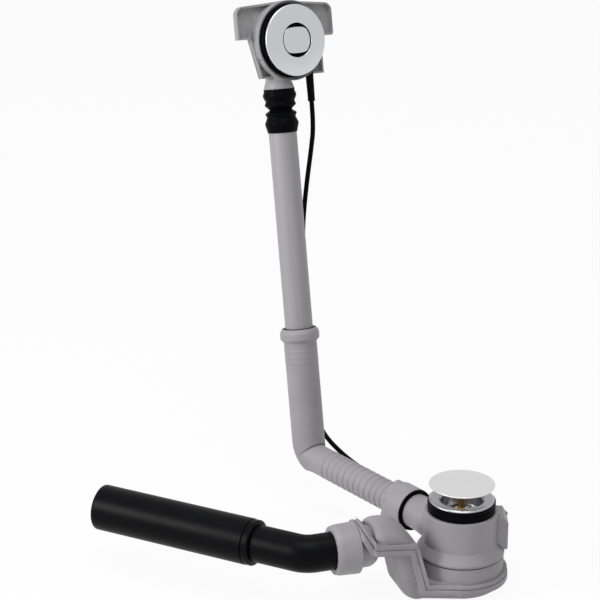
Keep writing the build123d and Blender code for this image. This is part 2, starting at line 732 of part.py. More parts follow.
clamp_boss = (Pos(CLAMP_SCREW_AT, 0, 0) * clamp_boss) & drum
boss_hole = Pos(CLAMP_SCREW_AT, 0, 0) * tube(
    Plane.XY, CLAMP_SCREW_R + SEAT, OVERFLOW_COLLAR_F - CLAMP_BOSS_L, OVERFLOW_COLLAR_F + 1
)
neck_top = HEAD_UP - drum_bore + 4.0
neck = turned(
    riser_frame,
    [
        (0, neck_spigot_low + 0.5),
        (NECK_SPIGOT_R, neck_spigot_low + 0.5),
        (NECK_SPIGOT_R, bellows_high),
        (NECK_FLARE_R, bellows_high),
        (NECK_R, bellows_high + 9.0, 6.0),
        (NECK_R, neck_top),
        (0, neck_top),
    ],
)
neck_bore = tube(riser_frame, NECK_R - NECK_WALL, neck_spigot_low, HEAD_UP)
head = head_frame.location * (tray + collar + drum) + neck
head -= head_frame.location * drum_inside
head += head_frame.location * (round_copies(clamp_boss, 2)[0] + round_copies(clamp_boss, 2)[1])
for hole in round_copies(boss_hole, 2):
    head -= head_frame.location * hole
parts["overflow_housing"] = head - (neck_bore - head_frame.location * tube(Plane.XY, DRUM_R, 40, 90))

# Overflow seal on the collar
seal_f = OVERFLOW_COLLAR_F
seal_face = seal_f + OVERFLOW_SEAL_T
parts["overflow_seal"] = turned(
    head_frame,
    [
        (drum_bore + 1.0, seal_f),
        (OVERFLOW_SEAL_R + 0.6, seal_f),
        (OVERFLOW_SEAL_R, seal_f + 1.8),
        (OVERFLOW_SEAL_R - 2.0, seal_face - 1.0, 0.5),
        (OVERFLOW_SEAL_R - 2.0, seal_face, 0.5),
        (drum_bore + 1.0, seal_face),
    ],
)

# Clamp ring behind the cover, with the button's guide held on two broad arms
ring_back = seal_face
ring_front = ring_back + CLAMP_RING_T
guide_back = ring_front - GUIDE_DEPTH
guide_floor = guide_back + 2.0
clamp_ring = tube(Plane.XY, CLAMP_RING_R, ring_back, ring_front, CLAMP_RING_BORE)
clamp_ring += tube(Plane.XY, GUIDE_R, guide_back, ring_front, GUIDE_BORE_R)
clamp_ring += tube(Plane.XY, GUIDE_R, guide_back, guide_floor, PLUNGER_R + RUN)
clamp_ring -= Pos(0, 0, ring_front - GUIDE_SLOT_L) * Box(
    GUIDE_SLOT_W, 2 * CLAMP_RING_BORE, GUIDE_SLOT_L + 1, align=(Align.CENTER, Align.CENTER, Align.MIN)
)
clamp_ring += tube(Plane.XY, CLAMP_RING_R, ring_back, ring_front, CLAMP_RING_BORE)
guide_arm = Pos(GUIDE_BORE_R + 0.8, 0, ring_back) * Box(
    CLAMP_RING_BORE - GUIDE_BORE_R, GUIDE_RIB_W, CLAMP_RING_T, align=(Align.MIN, Align.CENTER, Align.MIN)
)
clamp_ring += round_copies(guide_arm, GUIDE_RIBS)
ring_hole = Pos(CLAMP_SCREW_AT, 0, 0) * tube(Plane.XY, CLAMP_SCREW_R + SEAT, ring_back - 1, ring_front + 1)
clamp_ring -= round_copies(ring_hole, 2)
parts["overflow_flange"] = head_frame.location * clamp_ring

# Two screws that clamp the ring to the housing
clamp_screw = turned(
    Plane.XY,
    [
        (0, OVERFLOW_COLLAR_F - CLAMP_BOSS_L + 2),
        (CLAMP_SCREW_R, OVERFLOW_COLLAR_F - CLAMP_BOSS_L + 2),
        (CLAMP_SCREW_R, ring_front),
        (CLAMP_SCREW_HEAD_R, ring_front),
        (CLAMP_SCREW_HEAD_R, ring_front + CLAMP_SCREW_HEAD_H, 0.8),
        (0, ring_front + CLAMP_SCREW_HEAD_H),
    ],
)
screw_pair = round_copies(Pos(CLAMP_SCREW_AT, 0, 0) * clamp_screw, 2)
parts["flange_screws"] = Compound(children=[head_frame.location * one for one in screw_pair])

# Cover disc: thin dished cup with a lip round the button's hole, seated on the guide's arms
disc_low = ring_front + SEAT
disc_front = DISC_F + DISC_CROWN
parts["cover_disc"] = turned(
    head_frame,
    [
        (DISC_HOLE_R, disc_low),
        (DISC_HOLE_R, disc_front, DISC_T / 3),
        (DISC_R, DISC_F, DISC_T),
        (DISC_R, DISC_F - DISC_DEPTH),
        (DISC_R - DISC_T, DISC_F - DISC_DEPTH),
        (DISC_R - DISC_T, DISC_F - DISC_T),
        (DISC_HOLE_R + DISC_T, disc_front - DISC_T),
        (DISC_HOLE_R + DISC_T, disc_low),
    ],
)

# Push button with its plunger, and the spring behind it
button_front = disc_front - BUTTON_SINK
button_back = button_front - BUTTON_T
plunger_back = guide_back - BUTTON_TRAVEL - 3.0
button = turned(
    Plane.XY,
    [
        (0, plunger_back),
        (PLUNGER_R, plunger_back, 1.0),
        (PLUNGER_R, button_back),
        (BUTTON_R, button_back),
        (BUTTON_R, button_front, 1.0),
        (0, button_front),
    ],
)
button_h = button_front - plunger_back
button &= Pos(0, 0, plunger_back) * Box(
    2 * BUTTON_R, 2 * BUTTON_FLAT, button_h, align=(Align.CENTER, Align.CENTER, Align.MIN)
)
parts["push_button"] = head_frame.location * button
spring_low = guide_floor + SPRING_WIRE_R
spring_high = button_back - SPRING_WIRE_R
spring_path = Helix((spring_high - spring_low) / SPRING_TURNS, spring_high - spring_low, SPRING_R)
spring_start = Plane(origin=spring_path @ 0, z_dir=spring_path % 0)
spring = sweep(spring_start * RegularPolygon(SPRING_WIRE_R, 6), path=spring_path, is_frenet=True)
parts["return_spring"] = head_frame.location * Pos(0, 0, spring_low) * spring

# Gland under the tray, where the control cable leaves the housing
gland_frame = Plane(
    origin=head_frame.from_local_coords(Vector(GLAND_ACROSS, GLAND_TOP, GLAND_F)),
    x_dir=head_frame.x_dir,
    z_dir=-head_frame.y_dir,
)
parts["cable_gland"] = turned(
    gland_frame,
    [(0, 0), (GLAND_R, 0), (GLAND_R - 0.5, GLAND_L - 4), (GLAND_R - 0.2, GLAND_L, 1.2), (0, GLAND_L)],
)
parts["overflow_housing"] -= tube(gland_frame, GLAND_R + SEAT, 0, GLAND_L)


# Trap: bowl and channel, then one bent duct of rounded section with its belly, leg and hump
bowl_top = COLLAR_Z - TRAP_SEAL_T
leg_slope = tan(radians(LEG_LEAN))
trap_outlet_frame = Plane(origin=(0, 0, OUTLET_Z), x_dir=(0, 0, 1), z_dir=(1, 0, 0))


def bowl_plan(grow):
    """Plan of the bowl with the flanks that narrow to the rising leg, grown all round."""
    bowl_r = BOWL_R + grow
    half = DUCT_HALF_W + grow
    corner = Vector(FLANK_END, half)
    touch = corner.normalized().rotate(Axis.Z, degrees(acos(bowl_r / corner.length))) * bowl_r
    flank = [(touch.X, touch.Y), (FLANK_END, half), (FLANK_END, -half), (touch.X, -touch.Y)]
    return Circle(bowl_r) + make_face(Polyline(*flank, close=True))


def leg_wall(start, z):
    """Distance out of a leaning leg wall at height z; start is its distance at the channel's top."""
    return start + (z - CHANNEL_TOP_Z) * leg_slope


def duct_side(grow):
    """Side view of channel, belly, leg and hump, grown all round."""
    lean_grow = grow / cos(radians(LEG_LEAN))
    near = LEG_NEAR - lean_grow
    far = LEG_NEAR + LEG_DEEP + lean_grow
    floor = FLOOR_Z - grow
    channel = CHANNEL_TOP_Z + grow
    top = HUMP_TOP_Z + grow
    weir = WEIR_Z - grow
    corners = [
        (0, floor, 0),
        (leg_wall(far, floor), floor, BELLY_R + grow),
        (leg_wall(far, weir), weir, WEIR_R - grow),
        (HUMP_END + grow, weir, 0),
        (HUMP_END + grow, top, HUMP_END_ROUND + grow),
        (leg_wall(near, top), top, HUMP_R + grow),
        (leg_wall(near, channel), channel, 0),
        (0, channel, 0),
    ]
    rounding = [corner[2] for corner in corners]
    return make_face(FilletPolyline(*[corner[:2] for corner in corners], radius=rounding, close=True))


def side_block(face, half):
    """Block from a side view outline, half to each side of the trap's middle."""
    return extrude(Plane.XZ * face, half, both=True)


def trap_form(grow, top, outlet_r, ring_r):
    """The trap as one solid: bowl, channel, duct and outlet, grown all round."""
    floor = FLOOR_Z - grow
    floor_round = BOWL_ROUND + grow
    basin = Pos(0, 0, floor) * extrude(bowl_plan(grow), CHANNEL_TOP_Z + grow - floor)
    rim = basin.faces().sort_by(Axis.Z)[0].edges().sort_by(Axis.X)[:-1]
    basin = fillet(rim, floor_round)
    basin += tube(Plane.XY, BOWL_R + grow, floor + floor_round, top)
    half = DUCT_HALF_W + grow
    duct = side_block(duct_side(grow), half)
    sides = duct.faces().sort_by(Axis.Y)
    duct = fillet(sides[0].edges() + sides[-1].edges(), DUCT_ROUND + grow)
    ring = turned(
        trap_outlet_frame,
        [
            (0, OUTLET_RING_START - grow),
            (ring_r, OUTLET_RING_START - grow, OUTLET_RING_ROUND + grow),
            (ring_r, SEAM_TOP),
            (outlet_r, SEAM_TOP),
            (outlet_r, OUTLET_END - 2 * grow),
            (0, OUTLET_END - 2 * grow),
        ],
    )
    return basin + duct + ring


seam_rise = Vector(SEAM_TOP - SEAM_SHOULDER, SEAM_TOP_Z - SEAM_SHOULDER_Z)
seam_end = Vector(SEAM_TOP, SEAM_TOP_Z) + seam_rise
seam_points = [
    (-2 * BOWL_R, SEAM_Z),
    (SEAM_FOOT, SEAM_Z),
    (SEAM_HIP, SEAM_HIP_Z),
    (SEAM_SHOULDER, SEAM_SHOULDER_Z),
    (seam_end.X, seam_end.Y),
]
seam_back = [(seam_end.X, 2 * BOWL_R), (-2 * BOWL_R, 2 * BOWL_R)]
cover_side = side_block(make_face(Polyline(*seam_points, *seam_back, close=True)), 2 * BOWL_R)
outer = trap_form(0, bowl_top, OUTLET_R, OUTLET_RING_R)
inner = trap_form(-TRAP_WALL, bowl_top + RUN, OUTLET_BORE_R, OUTLET_RING_R - TRAP_WALL)


def seam_band(thick):
    """Band along the seam line, thick to each side of it."""
    return side_block(trace(Polyline(*seam_points), 2 * thick), 2 * BOWL_R)


def seam_flange(width, thick):
    """Flange that stands width out from the trap's sides, thick to each side of the seam."""
    low = SEAM_Z - 2 * thick
    high = SEAM_SHOULDER_Z + 2 * thick
    leg_plan = Rectangle(SEAM_SHOULDER, 2 * (DUCT_HALF_W + width), align=(Align.MIN, Align.CENTER))
    skirt = Pos(0, 0, low) * extrude(bowl_plan(width) + leg_plan, high - low)
    arch_r = SEAM_ARCH_R + width - SEAM_FLANGE_W
    arch = tube(trap_outlet_frame, arch_r, SEAM_SHOULDER - SEAM_FLANGE_W, SEAM_TOP)
    return (skirt + arch) & seam_band(thick)


rebate = seam_flange(SEAM_FLANGE_W + 1, SEAM_GROOVE_T)
rebate -= seam_flange(SEAM_FLANGE_W - SEAM_GROOVE_W, 2 * SEAM_GROOVE_T)
cover_flange = seam_flange(SEAM_FLANGE_W - SEAM_STEP, SEAM_COVER_T) - rebate
cover = ((outer + cover_flange) & cover_side) - inner
base = (outer + seam_flange(SEAM_FLANGE_W, SEAM_BASE_T)) - cover_side - inner
parts["trap_cover"] = trap_frame.location * cover
parts["trap_base"] = trap_frame.location * base
parts["trap_seal"] = tube(Plane.XY, BOWL_R - SEAT, bowl_top, COLLAR_Z, plug_ring_r + SEAT)

# Outlet nut and seal
nut_inside_end = OUTLET_NUT_END - OUTLET_NUT_WALL
parts["outlet_nut"] = turned(
    outlet_frame,
    [
        (OUTLET_R + SEAT, OUTLET_NUT_START),
        (OUTLET_NUT_R, OUTLET_NUT_START, 1.5),
        (OUTLET_NUT_R - 0.8, OUTLET_NUT_END - 5.0, 2.0),
        (OUTLET_NUT_FRONT_R, OUTLET_NUT_END, 0.8),
        (SMALL_R + RUN, OUTLET_NUT_END),
        (SMALL_R + RUN, nut_inside_end),
        (OUTLET_R + SEAT, nut_inside_end),
    ],
)
parts["outlet_seal"] = tube(outlet_frame, OUTLET_R - SEAT, OUTLET_END, nut_inside_end, SMALL_R + RUN)

# Outlet bend: small pipe with its bend, stepped up to the large plain end
step_end = SMALL_LEG + STEP_L
leg_end = step_end + LARGE_LEG
small_end = bend_corner + leg_out * SMALL_LEG
outlet_start = trap_out * SMALL_START + Vector(0, 0, OUTLET_Z)
bend_points = [outlet_start, bend_corner, small_end]
bend = bent_bar(bend_points, BEND_R, SMALL_R)
bend += turned(
    leg_frame,
    [
        (0, SMALL_LEG),
        (LARGE_R - 0.4, SMALL_LEG, 2.2),
        (LARGE_R - 0.4, step_end - 1.4),
        (LARGE_R - 1.2, step_end - 0.7),
        (LARGE_R, step_end),
        (LARGE_R, leg_end, 0.5),
        (0, leg_end),
    ],
)
bend -= bent_bar(bend_points, BEND_R, SMALL_R - OUTLET_WALL)
bend -= turned(
    leg_frame,
    [
        (0, SMALL_LEG - 1),
        (SMALL_R - OUTLET_WALL, SMALL_LEG - 1),
        (SMALL_R - OUTLET_WALL, SMALL_LEG + 2.0),
        (LARGE_R - OUTLET_WALL, step_end),
        (LARGE_R - OUTLET_WALL, leg_end + 1),
        (0, leg_end + 1),
    ],
)
parts["outlet_bend"] = bend

# Control cable: from the gland under the tray, down behind the riser and along the arm's far side
# to the gland on the cable box
cable_start = gland_frame.from_local_coords(Vector(0, 0, GLAND_L))
cable_end = end_gland_frame.from_local_coords(Vector(0, 0, END_GLAND_L))
beside_riser = [
    (2.0, CABLE_BESIDE + 14.8, HEAD_UP - 122.0),
    (-3.0, CABLE_BESIDE + 6.2, HEAD_UP - 167.0),
    (-9.5, CABLE_BESIDE + 0.8, HEAD_UP - 214.0),
    (-CABLE_BEHIND, CABLE_BESIDE - 1.0, BEAD_HIGH + 62.5),
    (-CABLE_BEHIND - 1.5, CABLE_BESIDE, BEAD_HIGH + 6.5),
    (-CABLE_BEHIND, CABLE_BESIDE + 0.8, BEAD_LOW - 31.5),
    (-CABLE_BEHIND - 7.3, CABLE_BESIDE + 4.0, BEAD_LOW - 79.5),
]
beside_arm = [
    (-ARM_L - 18.0, CABLE_ARM_Y - 1.5, ARM_Z + 15.7),
    (-ARM_L + 29.0, CABLE_ARM_Y, ARM_Z - 3.0),
    (-ARM_L + 91.0, CABLE_ARM_Y + 0.5, ARM_Z - 9.0),
    (-ARM_L + 146.0, CABLE_ARM_Y + 2.0, ARM_Z - 13.0),
    (-BODY_R - 26.0, BODY_R, ARM_Z - 6.0),
]
route = [cable_start, gland_frame.from_local_coords(Vector(0, 0, GLAND_L + CABLE_TAIL))]
route += [riser_frame.from_local_coords(Vector(*point)) for point in beside_riser]
route += [Vector(*point) for point in beside_arm]
route += [end_gland_frame.from_local_coords(Vector(0, 0, END_GLAND_L + CABLE_TAIL)), cable_end]
cable_bends = []
for before, corner, after in zip(route, route[1:], route[2:]):
    run_in = corner - before
    run_out = after - corner
    half_turn = radians(run_in.get_angle(run_out)) / 2
    cable_bends.append(CABLE_SHARE * min(run_in.length, run_out.length) / tan(half_turn))
parts["control_cable"] = bent_bar(route, cable_bends, CABLE_R)
print("cable bend radii", [round(bend_r) for bend_r in cable_bends])
print("cable length", round(parts["control_cable"].volume / (pi * CABLE_R**2)))

os.makedirs("parts", exist_ok=True)
for name, solid in parts.items():
    export_step(solid, f"parts/{name}.step")
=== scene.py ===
import bmesh
import bpy
import numpy as np
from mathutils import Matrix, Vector


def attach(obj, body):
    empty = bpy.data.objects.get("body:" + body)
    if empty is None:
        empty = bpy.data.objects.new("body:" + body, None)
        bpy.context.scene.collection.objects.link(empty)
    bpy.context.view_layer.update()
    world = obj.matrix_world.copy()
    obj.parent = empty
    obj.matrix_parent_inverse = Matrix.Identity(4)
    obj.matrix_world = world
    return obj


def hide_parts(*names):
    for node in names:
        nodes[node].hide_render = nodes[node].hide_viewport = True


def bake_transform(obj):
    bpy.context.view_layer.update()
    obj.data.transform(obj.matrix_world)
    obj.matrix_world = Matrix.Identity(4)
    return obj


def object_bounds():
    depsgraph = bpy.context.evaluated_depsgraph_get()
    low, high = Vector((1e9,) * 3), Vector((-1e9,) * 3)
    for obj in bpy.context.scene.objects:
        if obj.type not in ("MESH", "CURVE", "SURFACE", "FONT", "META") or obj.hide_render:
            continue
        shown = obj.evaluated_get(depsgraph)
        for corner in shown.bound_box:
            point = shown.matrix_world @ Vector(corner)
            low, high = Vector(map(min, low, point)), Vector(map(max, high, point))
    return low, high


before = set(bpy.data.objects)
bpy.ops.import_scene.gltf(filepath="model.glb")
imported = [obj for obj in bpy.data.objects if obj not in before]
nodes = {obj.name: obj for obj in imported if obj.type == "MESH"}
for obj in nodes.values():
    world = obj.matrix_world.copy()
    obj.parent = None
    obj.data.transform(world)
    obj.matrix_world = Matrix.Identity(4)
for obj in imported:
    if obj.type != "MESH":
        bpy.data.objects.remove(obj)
cad_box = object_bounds()

# Waste body: the bell under the bath with the arm's spigot and the collar that holds the trap.
# Injection moulded in grey polypropylene, with a satin skin from the spark-eroded mould.


def grained_skin(tree, pattern, low, high, strength, height):
    """Roughness between low and high, and a bump of a height in metres, both led by one pattern."""
    shader = tree.nodes["Principled BSDF"]
    gloss = tree.nodes.new("ShaderNodeMapRange")
    gloss.inputs["To Min"].default_value = low
    gloss.inputs["To Max"].default_value = high
    tree.links.new(pattern.outputs["Fac"], gloss.inputs["Value"])
    tree.links.new(gloss.outputs["Result"], shader.inputs["Roughness"])
    bump = tree.nodes.new("ShaderNodeBump")
    bump.inputs["Strength"].default_value = strength
    bump.inputs["Distance"].default_value = height
    tree.links.new(pattern.outputs["Fac"], bump.inputs["Height"])
    tree.links.new(bump.outputs["Normal"], shader.inputs["Normal"])


def moulded_grey(name, dark, pale, roughness):
    """Grey polypropylene: colour drifts between two close greys in clouds about 40 mm wide, and the skin
    has a spark-eroded grain about 0.4 mm wide that moves both roughness and bump."""
    material = bpy.data.materials.new(name)
    material.use_nodes = True
    tree = material.node_tree
    shader = tree.nodes["Principled BSDF"]
    place = tree.nodes.new("ShaderNodeTexCoord")
    clouds = tree.nodes.new("ShaderNodeTexNoise")
    clouds.inputs["Scale"].default_value = 25.0
    clouds.inputs["Detail"].default_value = 4.0
    tree.links.new(place.outputs["Object"], clouds.inputs["Vector"])
    tint = tree.nodes.new("ShaderNodeValToRGB")
    tint.color_ramp.elements[0].position = 0.3
    tint.color_ramp.elements[0].color = (*dark, 1.0)
    tint.color_ramp.elements[1].position = 0.7
    tint.color_ramp.elements[1].color = (*pale, 1.0)
    tree.links.new(clouds.outputs["Fac"], tint.inputs["Fac"])
    tree.links.new(tint.outputs["Color"], shader.inputs["Base Color"])
    grain = tree.nodes.new("ShaderNodeTexNoise")
    grain.inputs["Scale"].default_value = 2400.0
    grain.inputs["Detail"].default_value = 2.0
    tree.links.new(place.outputs["Object"], grain.inputs["Vector"])
    grained_skin(tree, grain, roughness - 0.06, roughness + 0.06, strength=0.12, height=0.0001)
    shader.inputs["Specular IOR Level"].default_value = 0.4
    return material


def smooth_copy(node, angle):
    """Copy of a CAD piece with its loose triangles joined, shaded smooth up to an edge angle in degrees."""
    copy = bpy.data.objects.new(node + "_skin", nodes[node].data.copy())
    bpy.context.scene.collection.objects.link(copy)
    work = bmesh.new()
    work.from_mesh(copy.data)
    bmesh.ops.remove_doubles(work, verts=work.verts, dist=2e-6)
    work.to_mesh(copy.data)
    work.free()
    copy.data.shade_smooth()
    copy.data.set_sharp_from_angle(angle=np.radians(angle))
    even = copy.modifiers.new("even", "WEIGHTED_NORMAL")
    even.keep_sharp = True
    return copy


def finish_piece(piece, body, material, slot, *replaced):
    """Gives a piece its finish and its body, and hides the CAD pieces that it stands for. The slot is not
    used.
    """
    piece.data.materials.clear()
    piece.data.materials.append(material)
    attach(piece, body)
    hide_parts(*replaced)


body_grey = moulded_grey("body_grey", (0.285, 0.276, 0.286), (0.325, 0.315, 0.326), 0.46)
finish_piece(smooth_copy("waste_body", 28), "waste", body_grey, "grey_plastic", "waste_body")

# Cable box: separate cover on the body's far side, over the lever that lifts the plug.
# Moulded in the same grey and clipped to the round body.
finish_piece(smooth_copy("cable_box", 28), "waste", body_grey, "grey_plastic", "cable_box")

# Waste seal: thick rubber ring with a groove round it, between the body and the underside of the bath.
# Pressed in black rubber, with a dull skin.


def rounded_loop(corners, cuts, steps=7):
    """Closed line through corners, each rounded: from the point that lies cut away on one side to the point
    that lies cut away on the other it follows (1-s)^2 p + 2s(1-s) c + s^2 q."""
    corner = np.asarray(corners, float)
    cut = np.broadcast_to(np.asarray(cuts, float), len(corner))[:, None]
    to_last = np.roll(corner, 1, axis=0) - corner
    to_next = np.roll(corner, -1, axis=0) - corner
    p = corner + to_last * cut / np.linalg.norm(to_last, axis=1, keepdims=True)
    q = corner + to_next * cut / np.linalg.norm(to_next, axis=1, keepdims=True)
    s = np.linspace(0, 1, steps)[None, :, None]
    line = (1 - s) ** 2 * p[:, None] + 2 * s * (1 - s) * corner[:, None] + s**2 * q[:, None]
    line = line.reshape(-1, corner.shape[1])
    return line[np.linalg.norm(line - np.roll(line, 1, axis=0), axis=1) > 1e-6]


def grid_skin(name, points, angle=34):
    """Skin through a grid of points in metres, ring by ring; it closes round each ring, and the last ring
    joins the first."""
    rings, sides = points.shape[:2]
    i, j = np.meshgrid(np.arange(rings), np.arange(sides), indexing="ij")
    i_next, j_next = (i + 1) % rings, (j + 1) % sides
    quads = np.stack(
        [i * sides + j, i_next * sides + j, i_next * sides + j_next, i * sides + j_next], axis=-1
    )
    mesh = bpy.data.meshes.new(name)
    mesh.from_pydata(points.reshape(-1, 3).tolist(), [], quads.reshape(-1, 4).tolist())
    work = bmesh.new()
    work.from_mesh(mesh)
    bmesh.ops.remove_doubles(work, verts=work.verts, dist=1e-7)
    bmesh.ops.recalc_face_normals(work, faces=work.faces)
    work.to_mesh(mesh)
    work.free()
    mesh.shade_smooth()
    mesh.set_sharp_from_angle(angle=np.radians(angle))
    piece = bpy.data.objects.new(name, mesh)
    bpy.context.scene.collection.objects.link(piece)
    return piece


def ring_points(centres, along, radii, towards, sides):
    """Rings of points: the ring at a station stands square to the path there, and its point at turn t is
    centre + radius (cos t first + sin t second)."""
    centres = np.asarray(centres, float)
    along = np.broadcast_to(np.asarray(along, float), centres.shape)
    first = np.asarray(towards, float) - (along @ np.asarray(towards, float))[:, None] * along
    first /= np.linalg.norm(first, axis=1, keepdims=True)
    second = np.cross(along, first)
    turn = np.linspace(0, 2 * np.pi, sides, endpoint=False)
    radii = np.asarray(radii, float)
    radii = radii if radii.ndim == 2 else radii[:, None]
    spoke = np.cos(turn)[None, :, None] * first[:, None] + np.sin(turn)[None, :, None] * second[:, None]
    return centres[:, None] + radii[:, :, None] * spoke


def turned_piece(name, loop, origin, axis, sides=128, angle=34):
    """Piece turned round an axis from a closed loop of (radius, height) in millimetres."""
    axis = np.asarray(axis, float)
    loop = np.asarray(loop, float) / 1000
    centres = np.asarray(origin, float) / 1000 + loop[:, 1:] * axis
    side = np.cross(axis, (0.0, 1.0, 0.0) if abs(axis[1]) < 0.9 else (1.0, 0.0, 0.0))
    return grid_skin(name, ring_points(centres, axis, loop[:, 0], side, sides), angle)


def dull_rubber(name, colour, roughness):
    """Pressed rubber: one dark colour with a fine dusty mottle that moves roughness and bump too, and very
    little shine."""
    material = bpy.data.materials.new(name)
    material.use_nodes = True
    tree = material.node_tree
    shader = tree.nodes["Principled BSDF"]
    place = tree.nodes.new("ShaderNodeTexCoord")
    dust = tree.nodes.new("ShaderNodeTexNoise")
    dust.inputs["Scale"].default_value = 700.0
    dust.inputs["Detail"].default_value = 5.0
    tree.links.new(place.outputs["Object"], dust.inputs["Vector"])
    tint = tree.nodes.new("ShaderNodeValToRGB")
    tint.color_ramp.elements[0].color = (*[0.8 * c for c in colour], 1.0)
    tint.color_ramp.elements[1].color = (*[1.35 * c for c in colour], 1.0)
    tree.links.new(dust.outputs["Fac"], tint.inputs["Fac"])
    tree.links.new(tint.outputs["Color"], shader.inputs["Base Color"])
    grained_skin(tree, dust, roughness - 0.08, roughness + 0.08, strength=0.15, height=0.0001)
    shader.inputs["Specular IOR Level"].default_value = 0.03
    return material


waste_middle = (0.0, 0.0, 0.0)
straight_up = (0.0, 0.0, 1.0)
seal_rubber = dull_rubber("seal_rubber", (0.0020, 0.0020, 0.0026), 0.44)
seal_loop = rounded_loop(
    [(23.65, 0), (36.3, 0), (36.3, -3.0), (35.1, -3.6), (35.1, -4.6), (36.1, -5.4), (36.1, -11.5),
     (23.65, -11.5)],
    [0, 0.6, 0.5, 0.3, 0.3, 0.5, 0.4, 0],
)
seal_ring = turned_piece("waste_seal_ring", seal_loop, waste_middle, straight_up)
finish_piece(seal_ring, "waste", seal_rubber, "black_rubber", "waste_seal")

# Waste flange: dished plate with its well and spider, the part seen in the bath.
# Pressed and plated metal with a satin finish, clamped by the hollow screw in its middle.


def satin_plate(name, colour, low, high, centre, axis_turn):
    """Satin plated metal: fine rings from the polishing wheel, about 0.6 mm apart round the piece's own
    middle, shift the roughness between two close values and lift the bump a little."""
    material = bpy.data.materials.new(name)
    material.use_nodes = True
    tree = material.node_tree
    shader = tree.nodes["Principled BSDF"]
    place = tree.nodes.new("ShaderNodeTexCoord")
    middle = tree.nodes.new("ShaderNodeMapping")
    middle.vector_type = "TEXTURE"
    middle.inputs["Location"].default_value = centre
    middle.inputs["Rotation"].default_value = axis_turn
    tree.links.new(place.outputs["Object"], middle.inputs["Vector"])
    rings = tree.nodes.new("ShaderNodeTexWave")
    rings.wave_type = "RINGS"
    rings.rings_direction = "Z"
    rings.inputs["Scale"].default_value = 500.0
    rings.inputs["Distortion"].default_value = 3.0
    rings.inputs["Detail"].default_value = 3.0
    rings.inputs["Detail Scale"].default_value = 2.0
    tree.links.new(middle.outputs["Vector"], rings.inputs["Vector"])
    grained_skin(tree, rings, low, high, strength=0.04, height=0.0001)
    shader.inputs["Base Color"].default_value = (*colour, 1.0)
    shader.inputs["Metallic"].default_value = 1.0
    return material


no_turn = (0.0, 0.0, 0.0)
# The plate's colour is darker than the cap's and the disc's. Part of this is the rim's own mid grey, and
# part is painted shade that stands in for the darkness inside the well.
waste_plate_with_painted_shade = satin_plate("waste_plate_with_painted_shade", (0.44, 0.44, 0.455), 0.26, 0.34, waste_middle, no_turn)
finish_piece(smooth_copy("waste_flange", 32), "waste", waste_plate_with_painted_shade, "satin_metal", "waste_flange")

# Hollow screw: hexagon head in the well, with the bore that the plug's stem slides in.
# Turned from bar, nickel plated and bright.


def bright_metal(name, colour, low, high):
    """Turned metal: bands across the bar about 1 mm apart, as the tool leaves them, shift its roughness."""
    material = bpy.data.materials.new(name)
    material.use_nodes = True
    tree = material.node_tree
    shader = tree.nodes["Principled BSDF"]
    place = tree.nodes.new("ShaderNodeTexCoord")
    bands = tree.nodes.new("ShaderNodeTexWave")
    bands.bands_direction = "Z"
    bands.inputs["Scale"].default_value = 300.0
    bands.inputs["Distortion"].default_value = 1.5
    tree.links.new(place.outputs["Object"], bands.inputs["Vector"])
    gloss = tree.nodes.new("ShaderNodeMapRange")
    gloss.inputs["To Min"].default_value = low
    gloss.inputs["To Max"].default_value = high
    tree.links.new(bands.outputs["Fac"], gloss.inputs["Value"])
    tree.links.new(gloss.outputs["Result"], shader.inputs["Roughness"])
    shader.inputs["Base Color"].default_value = (*colour, 1.0)
    shader.inputs["Metallic"].default_value = 1.0
    return material


nickel = bright_metal("nickel", (0.86, 0.79, 0.70), 0.22, 0.32)
finish_piece(smooth_copy("flange_screw", 25), "waste", nickel, "steel", "flange_screw")

# Plug: domed cap on its stem, standing open over the well.
# The cap is pressed and satin plated, the stem is turned brass, and the ring below the cap is rubber.
cap_loop = rounded_loop(
    [(0, 21.2), (18.0, 20.51), (35.0, 18.6), (35.0, 17.4), (27.5, 17.4), (18.0, 18.32), (16.6, 18.42),
     (16.6, 15.4), (4.15, 15.4), (4.15, 18.4), (0, 18.4)],
    [0, 12.0, 0.5, 0.5, 0.8, 0.4, 0.4, 0.4, 0, 0, 0],
)
cap_plate = satin_plate("cap_plate", (0.80, 0.80, 0.80), 0.30, 0.38, waste_middle, no_turn)
cap_dome = turned_piece("plug_cap_dome", cap_loop, waste_middle, straight_up)
finish_piece(cap_dome, "plug", cap_plate, "satin_metal", "plug_cap")
brass = bright_metal("brass", (0.86, 0.58, 0.22), 0.24, 0.36)
finish_piece(smooth_copy("plug_stem", 30), "plug", brass, "brass", "plug_stem")
finish_piece(smooth_copy("plug_seal", 30), "plug", seal_rubber, "black_rubber", "plug_seal")

# Lifting lever: cranked shaft below the stem, turned by the cable inside the box.
# Bent from plated steel rod.
lever_steel = bright_metal("lever_steel", (0.58, 0.58, 0.60), 0.24, 0.36)
finish_piece(smooth_copy("lift_lever", 30), "lever", lever_steel, "steel", "lift_lever")

# Union nut and its seal: the nut pulls the arm on to the body's spigot, and the black ring shows in its
# mouth. The nut is moulded in grey with six low lugs round its rim, the ring is rubber.
arm_start = (0.0, 0.0, -41.0)
arm_way = (-1.0, 0.0, 0.0)
nut_loop = rounded_loop(
    [(21.0, 75.5), (23.6, 75.5), (23.6, 100.0), (22.0, 101.5), (22.0, 106.0), (18.0, 112.0),
     (16.75, 112.0), (16.75, 97.0), (19.15, 97.0), (19.15, 79.5), (21.0, 79.5)],
    [0.2, 0.7, 1.0, 0.7, 1.6, 0.6, 0, 0, 0, 0, 0],
)
nut_step = 0.5
nut_sides = 216
nut_inside_r = 20.0
lug_count = 6
lug_middle_r = 24.0
lug_top_r = 24.3
lug_half_width = 4.7
lug_from, lug_to = 98.4, 107.0
lug_slope = 0.8
nut_line = np.concatenate([
    np.linspace(here, there, int(np.ceil(np.linalg.norm(there - here) / nut_step)), endpoint=False)
    for here, there in zip(nut_loop, np.roll(nut_loop, -1, axis=0))
])
nut_turn = np.linspace(0, lug_count, nut_sides, endpoint=False)
